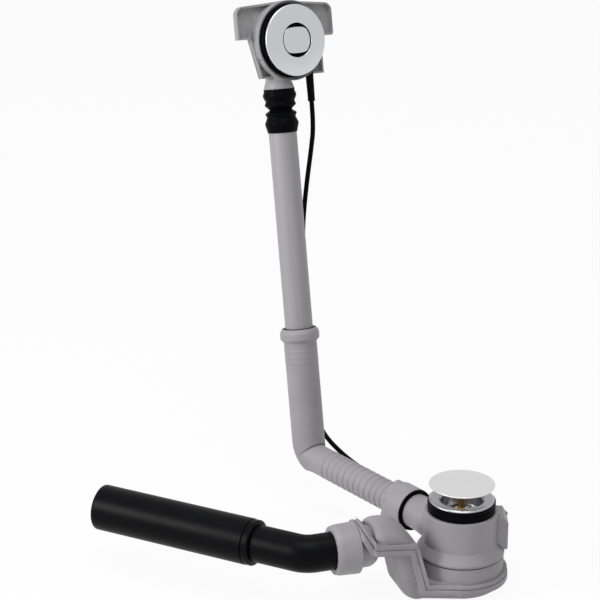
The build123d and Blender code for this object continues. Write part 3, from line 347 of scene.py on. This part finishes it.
from_lug = np.abs(nut_turn - np.round(nut_turn)) * 2 * np.pi / lug_count * lug_middle_r
across_lug = np.clip((lug_half_width - from_lug) / lug_slope, 0, 1)
into_lug = np.clip((nut_line[:, 1] - lug_from) / lug_slope, 0, 1)
along_lug = into_lug * np.clip((lug_to - nut_line[:, 1]) / lug_slope, 0, 1)
lug_rise = np.where(nut_line[:, 0] > nut_inside_r, lug_top_r - nut_line[:, 0], 0.0) * along_lug
nut_r = nut_line[:, :1] + lug_rise[:, None] * across_lug[None, :]
nut_centres = np.array(arm_start) + nut_line[:, 1:] * np.array(arm_way)
nut_grid = ring_points(nut_centres / 1000, arm_way, nut_r / 1000, straight_up, nut_sides)
nut_grey = moulded_grey("nut_grey", (0.293, 0.284, 0.294), (0.332, 0.322, 0.333), 0.44)
finish_piece(grid_skin("union_nut", nut_grid), "waste", nut_grey, "grey_plastic", "overflow_nut")
nut_seal_loop = rounded_loop(
    [(19.15, 73.3), (23.2, 73.3), (23.2, 75.5), (20.85, 75.5), (20.85, 79.5), (19.15, 79.5)],
    [0, 0.8, 0.3, 0, 0, 0],
)
nut_ring = turned_piece("union_nut_ring", nut_seal_loop, arm_start, arm_way)
finish_piece(nut_ring, "waste", seal_rubber, "black_rubber", "overflow_nut_seal")

# Overflow arm, elbow and riser: one hollow moulding, corrugated along the arm, that ends in a bead socket.
# Blown in grey polyethylene, duller than the moulded pieces.
riser_lean = np.radians(12.4)
riser_back = np.radians(3.6)
riser_up = np.array([-np.tan(riser_lean), np.tan(riser_back), 1.0])
riser_up /= np.linalg.norm(riser_up)
riser_out = np.array([1.0, 0.0, 0.0]) - riser_up * riser_up[0]
riser_out /= np.linalg.norm(riser_out)
arm_length = 261.0
elbow_corner = np.array(arm_start) + arm_length * np.array(arm_way)


def mitred_points(station, relief, narrow, wide, sides, bend_r=21.5, fan=30.0, swell=15.5):
    """Rings round an arm of the narrow radius and a riser of the wide one that meet in a mitre, with relief
    added ring by ring. The arm widens evenly over its last swell. Within fan of the corner each ring point
    is shifted along its run, so that the rings turn into the mitre plane: the point at turn t meets that
    plane at radius sin t tan(half the turn). A point farther than wide from the bend's arc is drawn in to
    it."""
    way_in = np.array(arm_way)
    side = np.cross(way_in, riser_up)
    side /= np.linalg.norm(side)
    full = np.arccos(np.dot(way_in, riser_up))
    turn = np.linspace(0, 2 * np.pi, sides, endpoint=False)[None, :]
    on_arm = station[:, None] < 0
    way = np.where(on_arm, way_in[None, :], riser_up[None, :])
    inward = np.cross(way, side)
    # The arm's radius in the mitre plane depends on where it meets that plane, so it takes a few rounds.
    corner_r = np.full(turn.shape, wide)
    for _ in range(6):
        corner_r = np.interp(corner_r * np.sin(turn) * np.tan(full / 2), [-swell, 0], [narrow, wide])
    meet = np.where(on_arm, corner_r, -wide) * np.sin(turn) * np.tan(full / 2)
    run = station[:, None] + np.clip(1 - np.abs(station) / fan, 0, 1)[:, None] * meet
    radius = np.where(on_arm, np.interp(run, [-swell, 0], [narrow, wide]), wide) + relief[:, None]
    spoke = np.cos(turn)[:, :, None] * side + np.sin(turn)[:, :, None] * inward[:, None]
    points = run[:, :, None] * way[:, None] + radius[:, :, None] * spoke
    reach = bend_r * np.tan(full / 2)
    square = np.cross(side, way_in)
    hub = -reach * way_in + bend_r * square
    across, up = (points - hub) @ way_in, (points - hub) @ -square
    swing = np.clip(np.arctan2(across, up), 0, full)[:, :, None]
    arc = hub + bend_r * (np.sin(swing) * way_in - np.cos(swing) * square)
    arc = arc + np.minimum((points - arc) @ way_in, 0)[:, :, None] * way_in * (swing <= 0)
    arc = arc + np.maximum((points - arc) @ riser_up, 0)[:, :, None] * riser_up * (swing >= full)
    out = points - arc
    far = np.linalg.norm(out, axis=2, keepdims=True)
    return arc + out * np.minimum(1, (wide + relief)[:, None, None] / far)


# Stations along the arm are measured from the waste's axis here, and up the riser from the corner.
arm_mouth, elbow_from = 92.5, 226.0
elbow_to, plain_to, riser_top = 32.0, 108.0, 149.5
elbow_run = np.concatenate([
    np.arange(elbow_from, arm_length - 0.1, 0.8) - arm_length, [-0.0001], np.arange(0.0, elbow_to, 0.8)
])
station = np.concatenate([
    np.arange(arm_mouth, elbow_from, 0.5) - arm_length,
    elbow_run,
    np.arange(36.0, plain_to, 6.0),
    np.arange(plain_to, riser_top - 0.2, 0.45),
    [riser_top],
])
# A foot in the nut, then twelve ribs with a soft groove before each crown.
foot_end, foot_rise = 96.85, 2.2
rib_from, rib_pitch, rib_count = 113.0, 9.4, 12
groove_at, groove_width, groove_depth = 0.17, 0.95, 1.15
crown_at, crown_width, crown_height = 0.34, 0.66, 0.25
from_waste = station + arm_length
rib = ((from_waste - rib_from) / rib_pitch) % 1.0
in_ribs = (from_waste > rib_from) & (from_waste < rib_from + rib_count * rib_pitch)
groove = np.exp(-(((rib - groove_at) * rib_pitch / groove_width) ** 2))
crown = crown_height * np.sin(np.pi * np.clip((rib - crown_at) / crown_width, 0, 1))
relief = np.where(from_waste < foot_end, foot_rise, 0.0) + in_ribs * (crown - groove_depth * groove)
# Three low rings below the socket.
ring_from, ring_to, ring_pitch = 110.0, 129.5, 6.5
ring_at, ring_width, ring_height = 0.185, 0.8, 0.32
ring = ((station - ring_from) / ring_pitch) % 1.0
in_rings = (station > ring_from) & (station < ring_to)
relief = relief + in_rings * ring_height * np.exp(-(((ring - ring_at) * ring_pitch / ring_width) ** 2))
# The socket's bead, which swells quickly and falls off to its lip.
bead_from, bead_slope, bead_height = 133.2, 4.8, 3.6
lip_from, lip_slope, lip_drop = 144.6, 4.9, 2.8
bead_rise = np.clip((station - bead_from) / bead_slope, 0, 1)
bead_fall = np.clip((station - lip_from) / lip_slope, 0, 1)
relief = relief + bead_height * (0.4 * bead_rise + 0.6 * bead_rise**2 * (3 - 2 * bead_rise))
relief = relief - lip_drop * (0.6 * bead_fall + 0.4 * bead_fall**2)
# The bore is plain, and it steps out for the socket's seal.
socket_from, socket_step = 137.5, 1.95
bore_station = np.concatenate([
    np.arange(arm_mouth, elbow_from, 12.0) - arm_length,
    elbow_run,
    [70.0, socket_from - 0.01, socket_from, riser_top],
])
bore_relief = np.where(bore_station >= socket_from, socket_step, 0.0)
arm_r, riser_r = 16.6, 19.0
arm_bore_r, riser_bore_r = 13.6, 16.4
arm_sides = 112
arm_grid = np.concatenate([
    mitred_points(station, relief, arm_r, riser_r, arm_sides),
    mitred_points(bore_station, bore_relief, arm_bore_r, riser_bore_r, arm_sides)[::-1],
])
arm_piece = grid_skin("arm_and_riser", (elbow_corner + arm_grid) / 1000, 40)
blown_grey = moulded_grey("blown_grey", (0.278, 0.269, 0.279), (0.318, 0.308, 0.319), 0.52)
finish_piece(arm_piece, "waste", blown_grey, "grey_plastic", "overflow_elbow")

# Socket seal: ring in the bead whose lip wipes the sliding pipe.
# Moulded in black rubber.
socket_loop = rounded_loop(
    [(16.35, socket_from), (18.2, socket_from), (18.2, 148.5), (17.0, 150.1), (16.35, 150.1)],
    [0, 0, 0.6, 0.3, 0.2],
)
socket_lip = turned_piece("socket_lip", socket_loop, elbow_corner, riser_up)
finish_piece(socket_lip, "waste", seal_rubber, "black_rubber", "socket_seal")

# Overflow pipe: plain pipe that slides in the socket to suit the bath's height.
# Extruded in grey polypropylene, with faint lines along its length from the die.


def drawn_grey(name, dark, pale, roughness, lay):
    """Extruded pipe: the noise behind the colour is about 4 mm wide and forty times as long, laid along the
    pipe, for the die's lines."""
    material = moulded_grey(name, dark, pale, roughness)
    tree = material.node_tree
    place = tree.nodes["Texture Coordinate"]
    turn = tree.nodes.new("ShaderNodeMapping")
    turn.vector_type = "TEXTURE"
    turn.inputs["Rotation"].default_value = lay
    turn.inputs["Scale"].default_value = (1.0, 1.0, 40.0)
    tree.links.new(place.outputs["Object"], turn.inputs["Vector"])
    lines = tree.nodes["Noise Texture"]
    lines.inputs["Scale"].default_value = 260.0
    tree.links.new(turn.outputs["Vector"], lines.inputs["Vector"])
    return material


riser_lay = Vector((0, 0, 1)).rotation_difference(Vector(riser_up)).to_euler()
pipe_loop = rounded_loop([(14.1, 72.0), (16.0, 72.0), (16.0, 386.0), (14.1, 386.0)], 0.3)
pipe_grey = drawn_grey("pipe_grey", (0.290, 0.281, 0.291), (0.320, 0.311, 0.321), 0.42, riser_lay)
pipe_piece = turned_piece("sliding_pipe", pipe_loop, elbow_corner, riser_up)
finish_piece(pipe_piece, "overflow", pipe_grey, "grey_plastic", "overflow_pipe")

# Bellows: sleeve that joins the pipe to the overflow housing and lets the housing tilt.
# Moulded in black rubber with folds.
bellows_loop = rounded_loop(
    [(16.7, 375.0), (19.4, 385.4), (16.2, 392.3), (18.2, 396.8), (12.5, 400.7), (18.2, 406.2),
     (16.3, 410.1), (19.4, 416.6), (17.6, 421.5), (17.6, 424.5), (15.15, 424.5), (15.15, 412.5),
     (13.8, 409.6), (13.8, 406.2), (10.3, 402.2), (10.3, 399.3), (13.8, 395.8), (13.8, 392.3),
     (16.15, 386.0), (16.15, 375.0)],
    [0.3, 1.6, 1.2, 1.2, 0.9, 1.4, 1.1, 1.8, 0.8, 0.4, 0, 0, 0.5, 0.5, 0.5, 0.5, 0.5, 0.5, 0.2, 0],
    9,
)
fold_rubber = dull_rubber("fold_rubber", (0.0016, 0.0017, 0.0022), 0.38)
bellows_piece = turned_piece("bellows_folds", bellows_loop, elbow_corner, riser_up)
finish_piece(bellows_piece, "overflow", fold_rubber, "black_rubber", "bellows_sleeve")

# Overflow housing: tray with its rim and wings, round collar, drum and neck.
# One moulding in grey polypropylene, behind the bath wall.
housing_grey = moulded_grey("housing_grey", (0.285, 0.280, 0.287), (0.330, 0.324, 0.332), 0.44)
housing_piece = smooth_copy("overflow_housing", 28)
finish_piece(housing_piece, "overflow", housing_grey, "grey_plastic", "overflow_housing")

# Overflow seal: ring on the collar, pressed against the outside of the bath wall.
# Black rubber.
head_turn = np.radians(-2.7)
head_height, head_aside = 477.5, 11.0
head_way = riser_out * np.cos(head_turn) + np.cross(riser_up, riser_out) * np.sin(head_turn)
head_across = np.cross(riser_up, head_way)
head_centre = elbow_corner + riser_up * head_height + head_across * head_aside
overflow_seal_loop = rounded_loop(
    [(36.6, 14.8), (41.8, 14.8), (41.2, 16.6), (39.6, 18.8), (39.6, 19.8), (36.6, 19.8)],
    [0, 0.4, 0.4, 0.3, 0.4, 0],
)
overflow_ring = turned_piece("overflow_seal_ring", overflow_seal_loop, head_centre, head_way)
finish_piece(overflow_ring, "overflow", seal_rubber, "black_rubber", "overflow_seal")

# Clamp ring with the button's guide, and the two screws that pull it to the housing.
# The ring is moulded in black plastic, the screws are plated steel.


def half_gloss_black(name, colour, low, high, clouds_scale, shine):
    """Black plastic: a half gloss skin whose roughness drifts in clouds, with a faint ripple in the bump."""
    material = bpy.data.materials.new(name)
    material.use_nodes = True
    tree = material.node_tree
    shader = tree.nodes["Principled BSDF"]
    place = tree.nodes.new("ShaderNodeTexCoord")
    clouds = tree.nodes.new("ShaderNodeTexNoise")
    clouds.inputs["Scale"].default_value = clouds_scale
    clouds.inputs["Detail"].default_value = 6.0
    tree.links.new(place.outputs["Object"], clouds.inputs["Vector"])
    tint = tree.nodes.new("ShaderNodeValToRGB")
    tint.color_ramp.elements[0].color = (*[0.85 * c for c in colour], 1.0)
    tint.color_ramp.elements[1].color = (*[1.2 * c for c in colour], 1.0)
    tree.links.new(clouds.outputs["Fac"], tint.inputs["Fac"])
    tree.links.new(tint.outputs["Color"], shader.inputs["Base Color"])
    grained_skin(tree, clouds, low, high, strength=0.06, height=0.0002)
    shader.inputs["Specular IOR Level"].default_value = shine
    return material


ring_black = half_gloss_black("ring_black", (0.0020, 0.0020, 0.0024), 0.40, 0.52, 120.0, 0.05)
finish_piece(smooth_copy("overflow_flange", 28), "overflow", ring_black, "black_plastic", "overflow_flange")
screw_steel = bright_metal("screw_steel", (0.60, 0.60, 0.62), 0.22, 0.32)
finish_piece(smooth_copy("flange_screws", 28), "overflow", screw_steel, "steel", "flange_screws")

# Cover disc: the round plate seen in the bath, with the hole that the button works in.
# Pressed metal with a satin plated finish, polished in rings.
disc_sides = 160
disc_loop = rounded_loop(
    [(19.3, 22.15), (19.3, 28.4), (30.0, 27.7), (40.1, 25.9), (40.1, 23.5), (38.1, 23.5), (38.1, 23.9),
     (21.3, 26.4), (21.3, 22.15)],
    [0, 0.6, 5.0, 1.3, 0.2, 0.2, 0.4, 0.4, 0],
)
head_lay = Vector((0, 0, 1)).rotation_difference(Vector(head_way)).to_euler()
disc_plate = satin_plate("disc_plate", (0.67, 0.68, 0.70), 0.28, 0.36, tuple(head_centre / 1000), head_lay)
disc_piece = turned_piece("cover_disc_plate", disc_loop, head_centre, head_way, disc_sides)
finish_piece(disc_piece, "overflow", disc_plate, "satin_metal", "cover_disc")

# Push button with its plunger: pressed to lift the plug, it slides in the guide. Its flatter top and bottom
# leave two dark crescents in the disc's hole, where the overflow runs in.
# Satin plated like the disc.
button_wide_r, button_high_r = 18.1, 14.6
button_round_r, button_edge = 11.0, 7.1
button_sides = 180
button_loop = rounded_loop(
    [(0, -11.0), (5.0, -11.0), (5.0, 22.8), (18.1, 22.8), (18.1, 27.8), (11.0, 27.8), (0, 27.8)],
    [0, 0.8, 0, 0.3, 0.8, 2.0, 0],
)
# The rim follows (x / high)^3 + (y / wide)^3 = 1, cut to the wide radius, and the middle stays round.
button_turn = np.linspace(0, 2 * np.pi, button_sides, endpoint=False)
oval_high = np.abs(np.cos(button_turn) / button_high_r) ** 3
oval_wide = np.abs(np.sin(button_turn) / button_wide_r) ** 3
oval_r = (oval_high + oval_wide) ** (-1 / 3)
flat_cut = 1 - np.minimum(1, oval_r / button_wide_r)
towards_rim = np.clip((button_loop[:, :1] - button_round_r) / button_edge, 0, 1)
button_r = button_loop[:, :1] * (1 - towards_rim * flat_cut[None, :])
button_centres = head_centre + button_loop[:, 1:] * head_way
button_grid = ring_points(button_centres / 1000, head_way, button_r / 1000, riser_up, button_sides)
finish_piece(grid_skin("button_plate", button_grid), "button", disc_plate, "satin_metal", "push_button")

# Return spring: round wire wound in five turns between the guide's floor and the button.
# Spring steel, bright drawn.
spring_turns, spring_steps = 5, 400
spring_r, wire_r, wire_sides = 7.6, 0.7, 14
spring_foot, spring_top = 4.7, 22.1
spring_turn = np.linspace(0, 2 * np.pi * spring_turns, spring_steps)[:, None]
spring_up = np.linspace(spring_foot, spring_top, spring_steps)[:, None]
spring_ring = np.cos(spring_turn) * head_across + np.sin(spring_turn) * np.cross(head_way, head_across)
spring_path = head_centre + spring_r * spring_ring + spring_up * head_way
spring_along = np.gradient(spring_path, axis=0)
spring_along /= np.linalg.norm(spring_along, axis=1, keepdims=True)
spring_ends = np.concatenate([[0.0], np.full(spring_steps - 2, wire_r), [0.0]])
spring_grid = ring_points(spring_path / 1000, spring_along, spring_ends / 1000, head_way, wire_sides)
spring_wire = grid_skin("spring_wire", spring_grid)
spring_steel = bright_metal("spring_steel", (0.55, 0.55, 0.57), 0.2, 0.3)
finish_piece(spring_wire, "overflow", spring_steel, "steel", "return_spring")

# Cable glands: sleeve below the tray and sleeve on the cable box, where the control cable goes in.
# Moulded in black plastic over the sheath.
sheath_black = half_gloss_black("sheath_black", (0.0016, 0.0016, 0.0020), 0.36, 0.5, 300.0, 0.05)
finish_piece(smooth_copy("cable_gland", 28), "overflow", sheath_black, "cable_black", "cable_gland")
finish_piece(smooth_copy("cable_end_gland", 28), "waste", sheath_black, "cable_black", "cable_end_gland")

# Control cable: sheathed wire from the housing down behind the riser and along the arm to the cable box.
# Black sheath, 5.5 mm thick and 669 mm long, free between its two glands.
cable_route = np.array([
    (-341.88, 65.08, 354.12), (-336.09, 63.43, 327.8), (-335.24, 60.05, 303.58), (-330.48, 48.64, 259.18),
    (-326.76, 40.29, 212.31), (-319.14, 35.28, 161.47), (-308.6, 32.83, 106.5), (-295.56, 30.33, 54.13),
    (-292.4, 30.48, 5.57), (-279.0, 29.5, -25.3), (-232.0, 31.0, -44.0), (-170.0, 31.5, -50.0),
    (-115.0, 33.0, -54.0), (-66.0, 40.0, -47.0), (-33.96, 47.55, -26.0), (-6.96, 47.55, -26.0),
]) / 1000
cable_r = 0.00275
cable_sides = 24
cable_line = bpy.data.curves.new("cable_line", "CURVE")
cable_line.dimensions = "3D"
cable_line.resolution_u = 24
cable_spline = cable_line.splines.new("NURBS")
cable_spline.points.add(len(cable_route) - 1)
cable_spline.points.foreach_set("co", np.c_[cable_route, np.ones(len(cable_route))].ravel())
cable_spline.order_u = 3
cable_spline.use_endpoint_u = True
cable_holder = bpy.data.objects.new("cable_line", cable_line)
cable_mesh = bpy.data.meshes.new_from_object(cable_holder)
cable_path = np.empty(3 * len(cable_mesh.vertices))
cable_mesh.vertices.foreach_get("co", cable_path)
cable_path = cable_path.reshape(-1, 3)
bpy.data.objects.remove(cable_holder)
bpy.data.meshes.remove(cable_mesh)
cable_along = np.gradient(cable_path, axis=0)
cable_along /= np.linalg.norm(cable_along, axis=1, keepdims=True)
cable_grid = ring_points(
    np.concatenate([cable_path[:1], cable_path, cable_path[-1:]]),
    np.concatenate([cable_along[:1], cable_along, cable_along[-1:]]),
    np.concatenate([[0.0], np.full(len(cable_path), cable_r), [0.0]]),
    (0.0, 1.0, 0.0),
    cable_sides,
)
cable_tube = grid_skin("control_cable_sheath", cable_grid)
cable_tube.data.materials.append(sheath_black)
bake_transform(cable_tube)
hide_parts("control_cable")

# Trap: cover shell and base shell, welded along the flange that runs round the bowl and up over the hump.
# Both are moulded in grey polypropylene, rounded across like a wide pipe.
trap_turn = np.radians(70.0)
trap_way = np.array([-np.cos(trap_turn), -np.sin(trap_turn), 0.0])


def domed_copy(node, angle):
    """Copy of a trap shell, rounded across. With u out along the trap, v to its side and z up, v shrinks by
    0.3 r^2 + 0.12 b^2 of itself and z sinks by 2 r (v / 28)^2 mm. r runs from 0 at the seam flange to 1 at
    the hump's top, and b from 0 at the flange to 1 at the leg's outer wall; r fades out towards bowl and
    outlet, and b towards the hump."""
    copy = smooth_copy(node, angle)
    reach = Vector(trap_way)
    work = bmesh.new()
    work.from_mesh(copy.data)
    for _ in range(5):
        wide = [
            edge for edge in work.edges
            if edge.calc_length() > 0.004 and max(end.co.dot(reach) for end in edge.verts) > 0.045
        ]
        bmesh.ops.subdivide_edges(work, edges=wide, cuts=1)
        bmesh.ops.triangulate(work, faces=[face for face in work.faces if len(face.verts) > 3])
    work.to_mesh(copy.data)
    work.free()
    place = np.empty(3 * len(copy.data.vertices))
    copy.data.vertices.foreach_get("co", place)
    place = place.reshape(-1, 3) * 1000
    side = np.cross(straight_up, trap_way)
    u, v, z = place @ trap_way, place @ side, place[:, 2]
    seam_out, seam_up = [52.0, 64.0, 107.5], [-82.0, -34.5, -29.5]
    hump_top = -10.5
    lid = np.interp(u, seam_out, seam_up) + 5.2
    fade = np.clip((u - 50.0) / 16.0, 0, 1) * np.clip((107.0 - u) / 6.0, 0, 1)
    rise = np.clip((z - lid) / (hump_top - lid), 0, 1) * fade * fade * (3 - 2 * fade)
    foot = np.interp(z, seam_up[:2], seam_out[:2]) + 7.0
    outer_wall = 77.0 + 0.24 * (z + 76.0)
    back = np.clip((u - foot) / (outer_wall - foot), 0, 1) * np.clip((-42.0 - z) / 12.0, 0, 1)
    shrink = (0.3 * rise**2 + 0.12 * back**2) * v
    sink = 2.0 * rise * (v / 28.0) ** 2
    place = place - shrink[:, None] * side - sink[:, None] * np.array(straight_up)
    copy.data.vertices.foreach_set("co", (place / 1000).ravel())
    copy.data.update()
    copy.data.shade_smooth()
    copy.data.set_sharp_from_angle(angle=np.radians(angle))
    return copy


trap_grey = moulded_grey("trap_grey", (0.270, 0.261, 0.271), (0.310, 0.300, 0.311), 0.48)
finish_piece(domed_copy("trap_cover", 30), "waste", trap_grey, "grey_plastic", "trap_cover")
finish_piece(domed_copy("trap_base", 30), "waste", trap_grey, "grey_plastic", "trap_base")

# Trap seal: ring between the trap's bowl and the collar.
# Black rubber, pinched and mostly hidden.
finish_piece(smooth_copy("trap_seal", 30), "waste", seal_rubber, "black_rubber", "trap_seal")

# Outlet nut and its seal: the nut holds the black pipe in the trap's outlet and lets it turn.
# The nut is moulded in grey, the seal is rubber.
outlet_start = np.array([0.0, 0.0, -38.0])
outlet_nut_loop = rounded_loop(
    [(24.35, 119.0), (27.6, 119.0), (26.8, 140.0), (25.4, 145.0), (20.35, 145.0), (20.35, 137.0),
     (24.35, 137.0)],
    [0, 1.2, 1.6, 0.7, 0.2, 0, 0],
)
outlet_nut = turned_piece("outlet_union_nut", outlet_nut_loop, outlet_start, trap_way)
finish_piece(outlet_nut, "waste", nut_grey, "grey_plastic", "outlet_nut")
finish_piece(smooth_copy("outlet_seal", 30), "waste", seal_rubber, "black_rubber", "outlet_seal")

# Outlet pipe: 45 degree bend of the small size, stepped up to a plain end of the large size.
# Black polyethylene with a half gloss skin.
leg_turn = np.radians(25.0)
leg_way = np.array([-np.cos(leg_turn), -np.sin(leg_turn), 0.0])
bend_reach = 174.0
bend_corner = outlet_start + bend_reach * trap_way


def bent_path(corner, way_in, way_out, bend_r, stations):
    """Centres and directions at distances along two straight runs joined by an arc that touches both.
    Distances are from the corner along the runs, less than 0 before it; on the arc they follow its angle."""
    way_in, way_out = np.asarray(way_in, float), np.asarray(way_out, float)
    full = np.arccos(np.clip(way_in @ way_out, -1, 1))
    reach = bend_r * np.tan(full / 2)
    share = np.clip((stations + reach) / (2 * reach), 0, 1)
    square = way_out - (way_in @ way_out) * way_in
    square /= np.linalg.norm(square)
    turn = share[:, None] * full
    on_arc = corner - reach * way_in + bend_r * (np.sin(turn) * way_in + (1 - np.cos(turn)) * square)
    before = np.minimum(stations + reach, 0)[:, None] * way_in
    after = np.maximum(stations - reach, 0)[:, None] * way_out
    return on_arc + before + after, np.cos(turn) * way_in + np.sin(turn) * square


small_r, small_bore_r, large_bore_r = 20.0, 17.0, 22.0
small_to, shoulder_foot_r, shoulder_round = 57.0, 22.4, 2.2
outlet_bend_r, outlet_sides = 26.0, 128
small_run = np.concatenate([
    np.linspace(-52.0, -12.0, 20), np.linspace(-11.5, 11.5, 40), np.linspace(12.0, small_to, 20)
])
shoulder_turn = np.linspace(0, np.pi / 2, 10)
shoulder = small_to + shoulder_round * (1 - np.cos(shoulder_turn))
shoulder_r = shoulder_foot_r + shoulder_round * np.sin(shoulder_turn)
# Behind the shoulder a shallow groove runs round, and the edge of the open end is eased.
large_run = np.concatenate([
    [61.0, 64.4, 64.8, 65.3, 65.8, 66.1, 67.0], np.linspace(72.0, 248.4, 30), [248.8, 249.0]
])
large_r = np.interp(
    large_run,
    [61.0, 64.4, 65.3, 66.1, 248.4, 248.8, 249.0],
    [24.6, 24.6, 23.8, 25.0, 25.0, 24.85, 24.5],
)
outlet_run = np.concatenate([small_run, shoulder, large_run])
outlet_r = np.concatenate([np.full(len(small_run), small_r), shoulder_r, large_r])
outlet_bore = np.interp(outlet_run, [59.0, 66.0], [small_bore_r, large_bore_r])
outlet_centre, outlet_along = bent_path(bend_corner, trap_way, leg_way, outlet_bend_r, outlet_run)
outlet_grid = ring_points(
    np.concatenate([outlet_centre, outlet_centre[::-1]]) / 1000,
    np.concatenate([outlet_along, outlet_along[::-1]]),
    np.concatenate([outlet_r, outlet_bore[::-1]]) / 1000,
    straight_up,
    outlet_sides,
)
outlet_piece = grid_skin("outlet_pipe", outlet_grid)
outlet_black = half_gloss_black("outlet_black", (0.0008, 0.0009, 0.0015), 0.36, 0.44, 60.0, 0.08)
finish_piece(outlet_piece, "outlet", outlet_black, "black_plastic", "outlet_bend")

# Stage: pale floor below the trap, soft lights and the camera at the photo's angle.
# Floor and world are near white to the camera and in reflections, and light the object more softly.
scene = bpy.context.scene
scene.view_settings.view_transform = "Standard"


def white_to_eye(tree, strength):
    """Strength for camera, glossy and transmission rays, 0 for the rest."""
    ray = tree.nodes.new("ShaderNodeLightPath")
    eye = tree.nodes.new("ShaderNodeMath")
    eye.operation = "MAXIMUM"
    tree.links.new(ray.outputs["Is Camera Ray"], eye.inputs[0])
    tree.links.new(ray.outputs["Is Glossy Ray"], eye.inputs[1])
    both = tree.nodes.new("ShaderNodeMath")
    both.operation = "MAXIMUM"
    tree.links.new(eye.outputs["Value"], both.inputs[0])
    tree.links.new(ray.outputs["Is Transmission Ray"], both.inputs[1])
    scaled = tree.nodes.new("ShaderNodeMath")
    scaled.operation = "MULTIPLY"
    scaled.inputs[1].default_value = strength
    tree.links.new(both.outputs["Value"], scaled.inputs[0])
    return scaled.outputs["Value"]


world = bpy.data.worlds.new("studio")
scene.world = world
world.use_nodes = True
sky = world.node_tree
sky_light = sky.nodes["Background"]
sky_light.inputs["Color"].default_value = (1.0, 1.0, 1.0, 1.0)
sky_light.inputs["Strength"].default_value = 0.45
sky_white = sky.nodes.new("ShaderNodeBackground")
sky_white.inputs["Strength"].default_value = 1.0
sky_mix = sky.nodes.new("ShaderNodeMixShader")
sky.links.new(white_to_eye(sky, 1.0), sky_mix.inputs["Fac"])
sky.links.new(sky_light.outputs["Background"], sky_mix.inputs[1])
sky.links.new(sky_white.outputs["Background"], sky_mix.inputs[2])
sky.links.new(sky_mix.outputs["Shader"], sky.nodes["World Output"].inputs["Surface"])

floor_half = 12.0
floor_z = cad_box[0][2] - 0.0005
floor_corners = [(-1, -1), (1, -1), (1, 1), (-1, 1)]
floor_mesh = bpy.data.meshes.new("floor")
floor_points = [(x * floor_half, y * floor_half, floor_z) for x, y in floor_corners]
floor_mesh.from_pydata(floor_points, [], [(0, 1, 2, 3)])
floor = bpy.data.objects.new("floor", floor_mesh)
scene.collection.objects.link(floor)
floor_white = bpy.data.materials.new("floor_white")
floor_white.use_nodes = True
floor_tree = floor_white.node_tree
floor_tree.nodes.remove(floor_tree.nodes["Principled BSDF"])
floor_matt = floor_tree.nodes.new("ShaderNodeBsdfDiffuse")
floor_matt.inputs["Color"].default_value = (0.85, 0.85, 0.85, 1.0)
floor_glow = floor_tree.nodes.new("ShaderNodeEmission")
floor_glow.inputs["Strength"].default_value = 1.0
floor_mix = floor_tree.nodes.new("ShaderNodeMixShader")
floor_tree.links.new(white_to_eye(floor_tree, 0.93), floor_mix.inputs["Fac"])
floor_tree.links.new(floor_matt.outputs["BSDF"], floor_mix.inputs[1])
floor_tree.links.new(floor_glow.outputs["Emission"], floor_mix.inputs[2])
floor_tree.links.new(floor_mix.outputs["Shader"], floor_tree.nodes["Material Output"].inputs["Surface"])
floor_mesh.materials.append(floor_white)


def soft_light(name, place, aim, size, power):
    """Square area lamp at a place, turned to face a point."""
    lamp = bpy.data.lights.new(name, "AREA")
    lamp.size = size
    lamp.energy = power
    holder = bpy.data.objects.new(name, lamp)
    scene.collection.objects.link(holder)
    holder.location = place
    holder.rotation_euler = (Vector(aim) - Vector(place)).to_track_quat("-Z", "Y").to_euler()


soft_light("key", (-0.7, -2.3, 1.05), (-0.15, 0.0, 0.1), size=1.0, power=38.0)
soft_light("top", (0.2, -0.3, 2.4), (-0.1, 0.0, 0.0), size=1.4, power=22.0)

camera_data = bpy.data.cameras.new("camera")
camera_data.lens = 123.0
camera_data.sensor_width = 36.0
camera_data.clip_end = 50.0
camera = bpy.data.objects.new("camera", camera_data)
scene.collection.objects.link(camera)
view_turn, view_drop = np.radians(52.2), np.radians(20.0)
view_level = np.cos(view_drop)
view_way = Vector((-np.sin(view_turn) * view_level, np.cos(view_turn) * view_level, -np.sin(view_drop)))
camera.location = (1.4513, -1.3426, 0.9419)
camera.rotation_euler = view_way.to_track_quat("-Z", "Y").to_euler()
scene.camera = camera
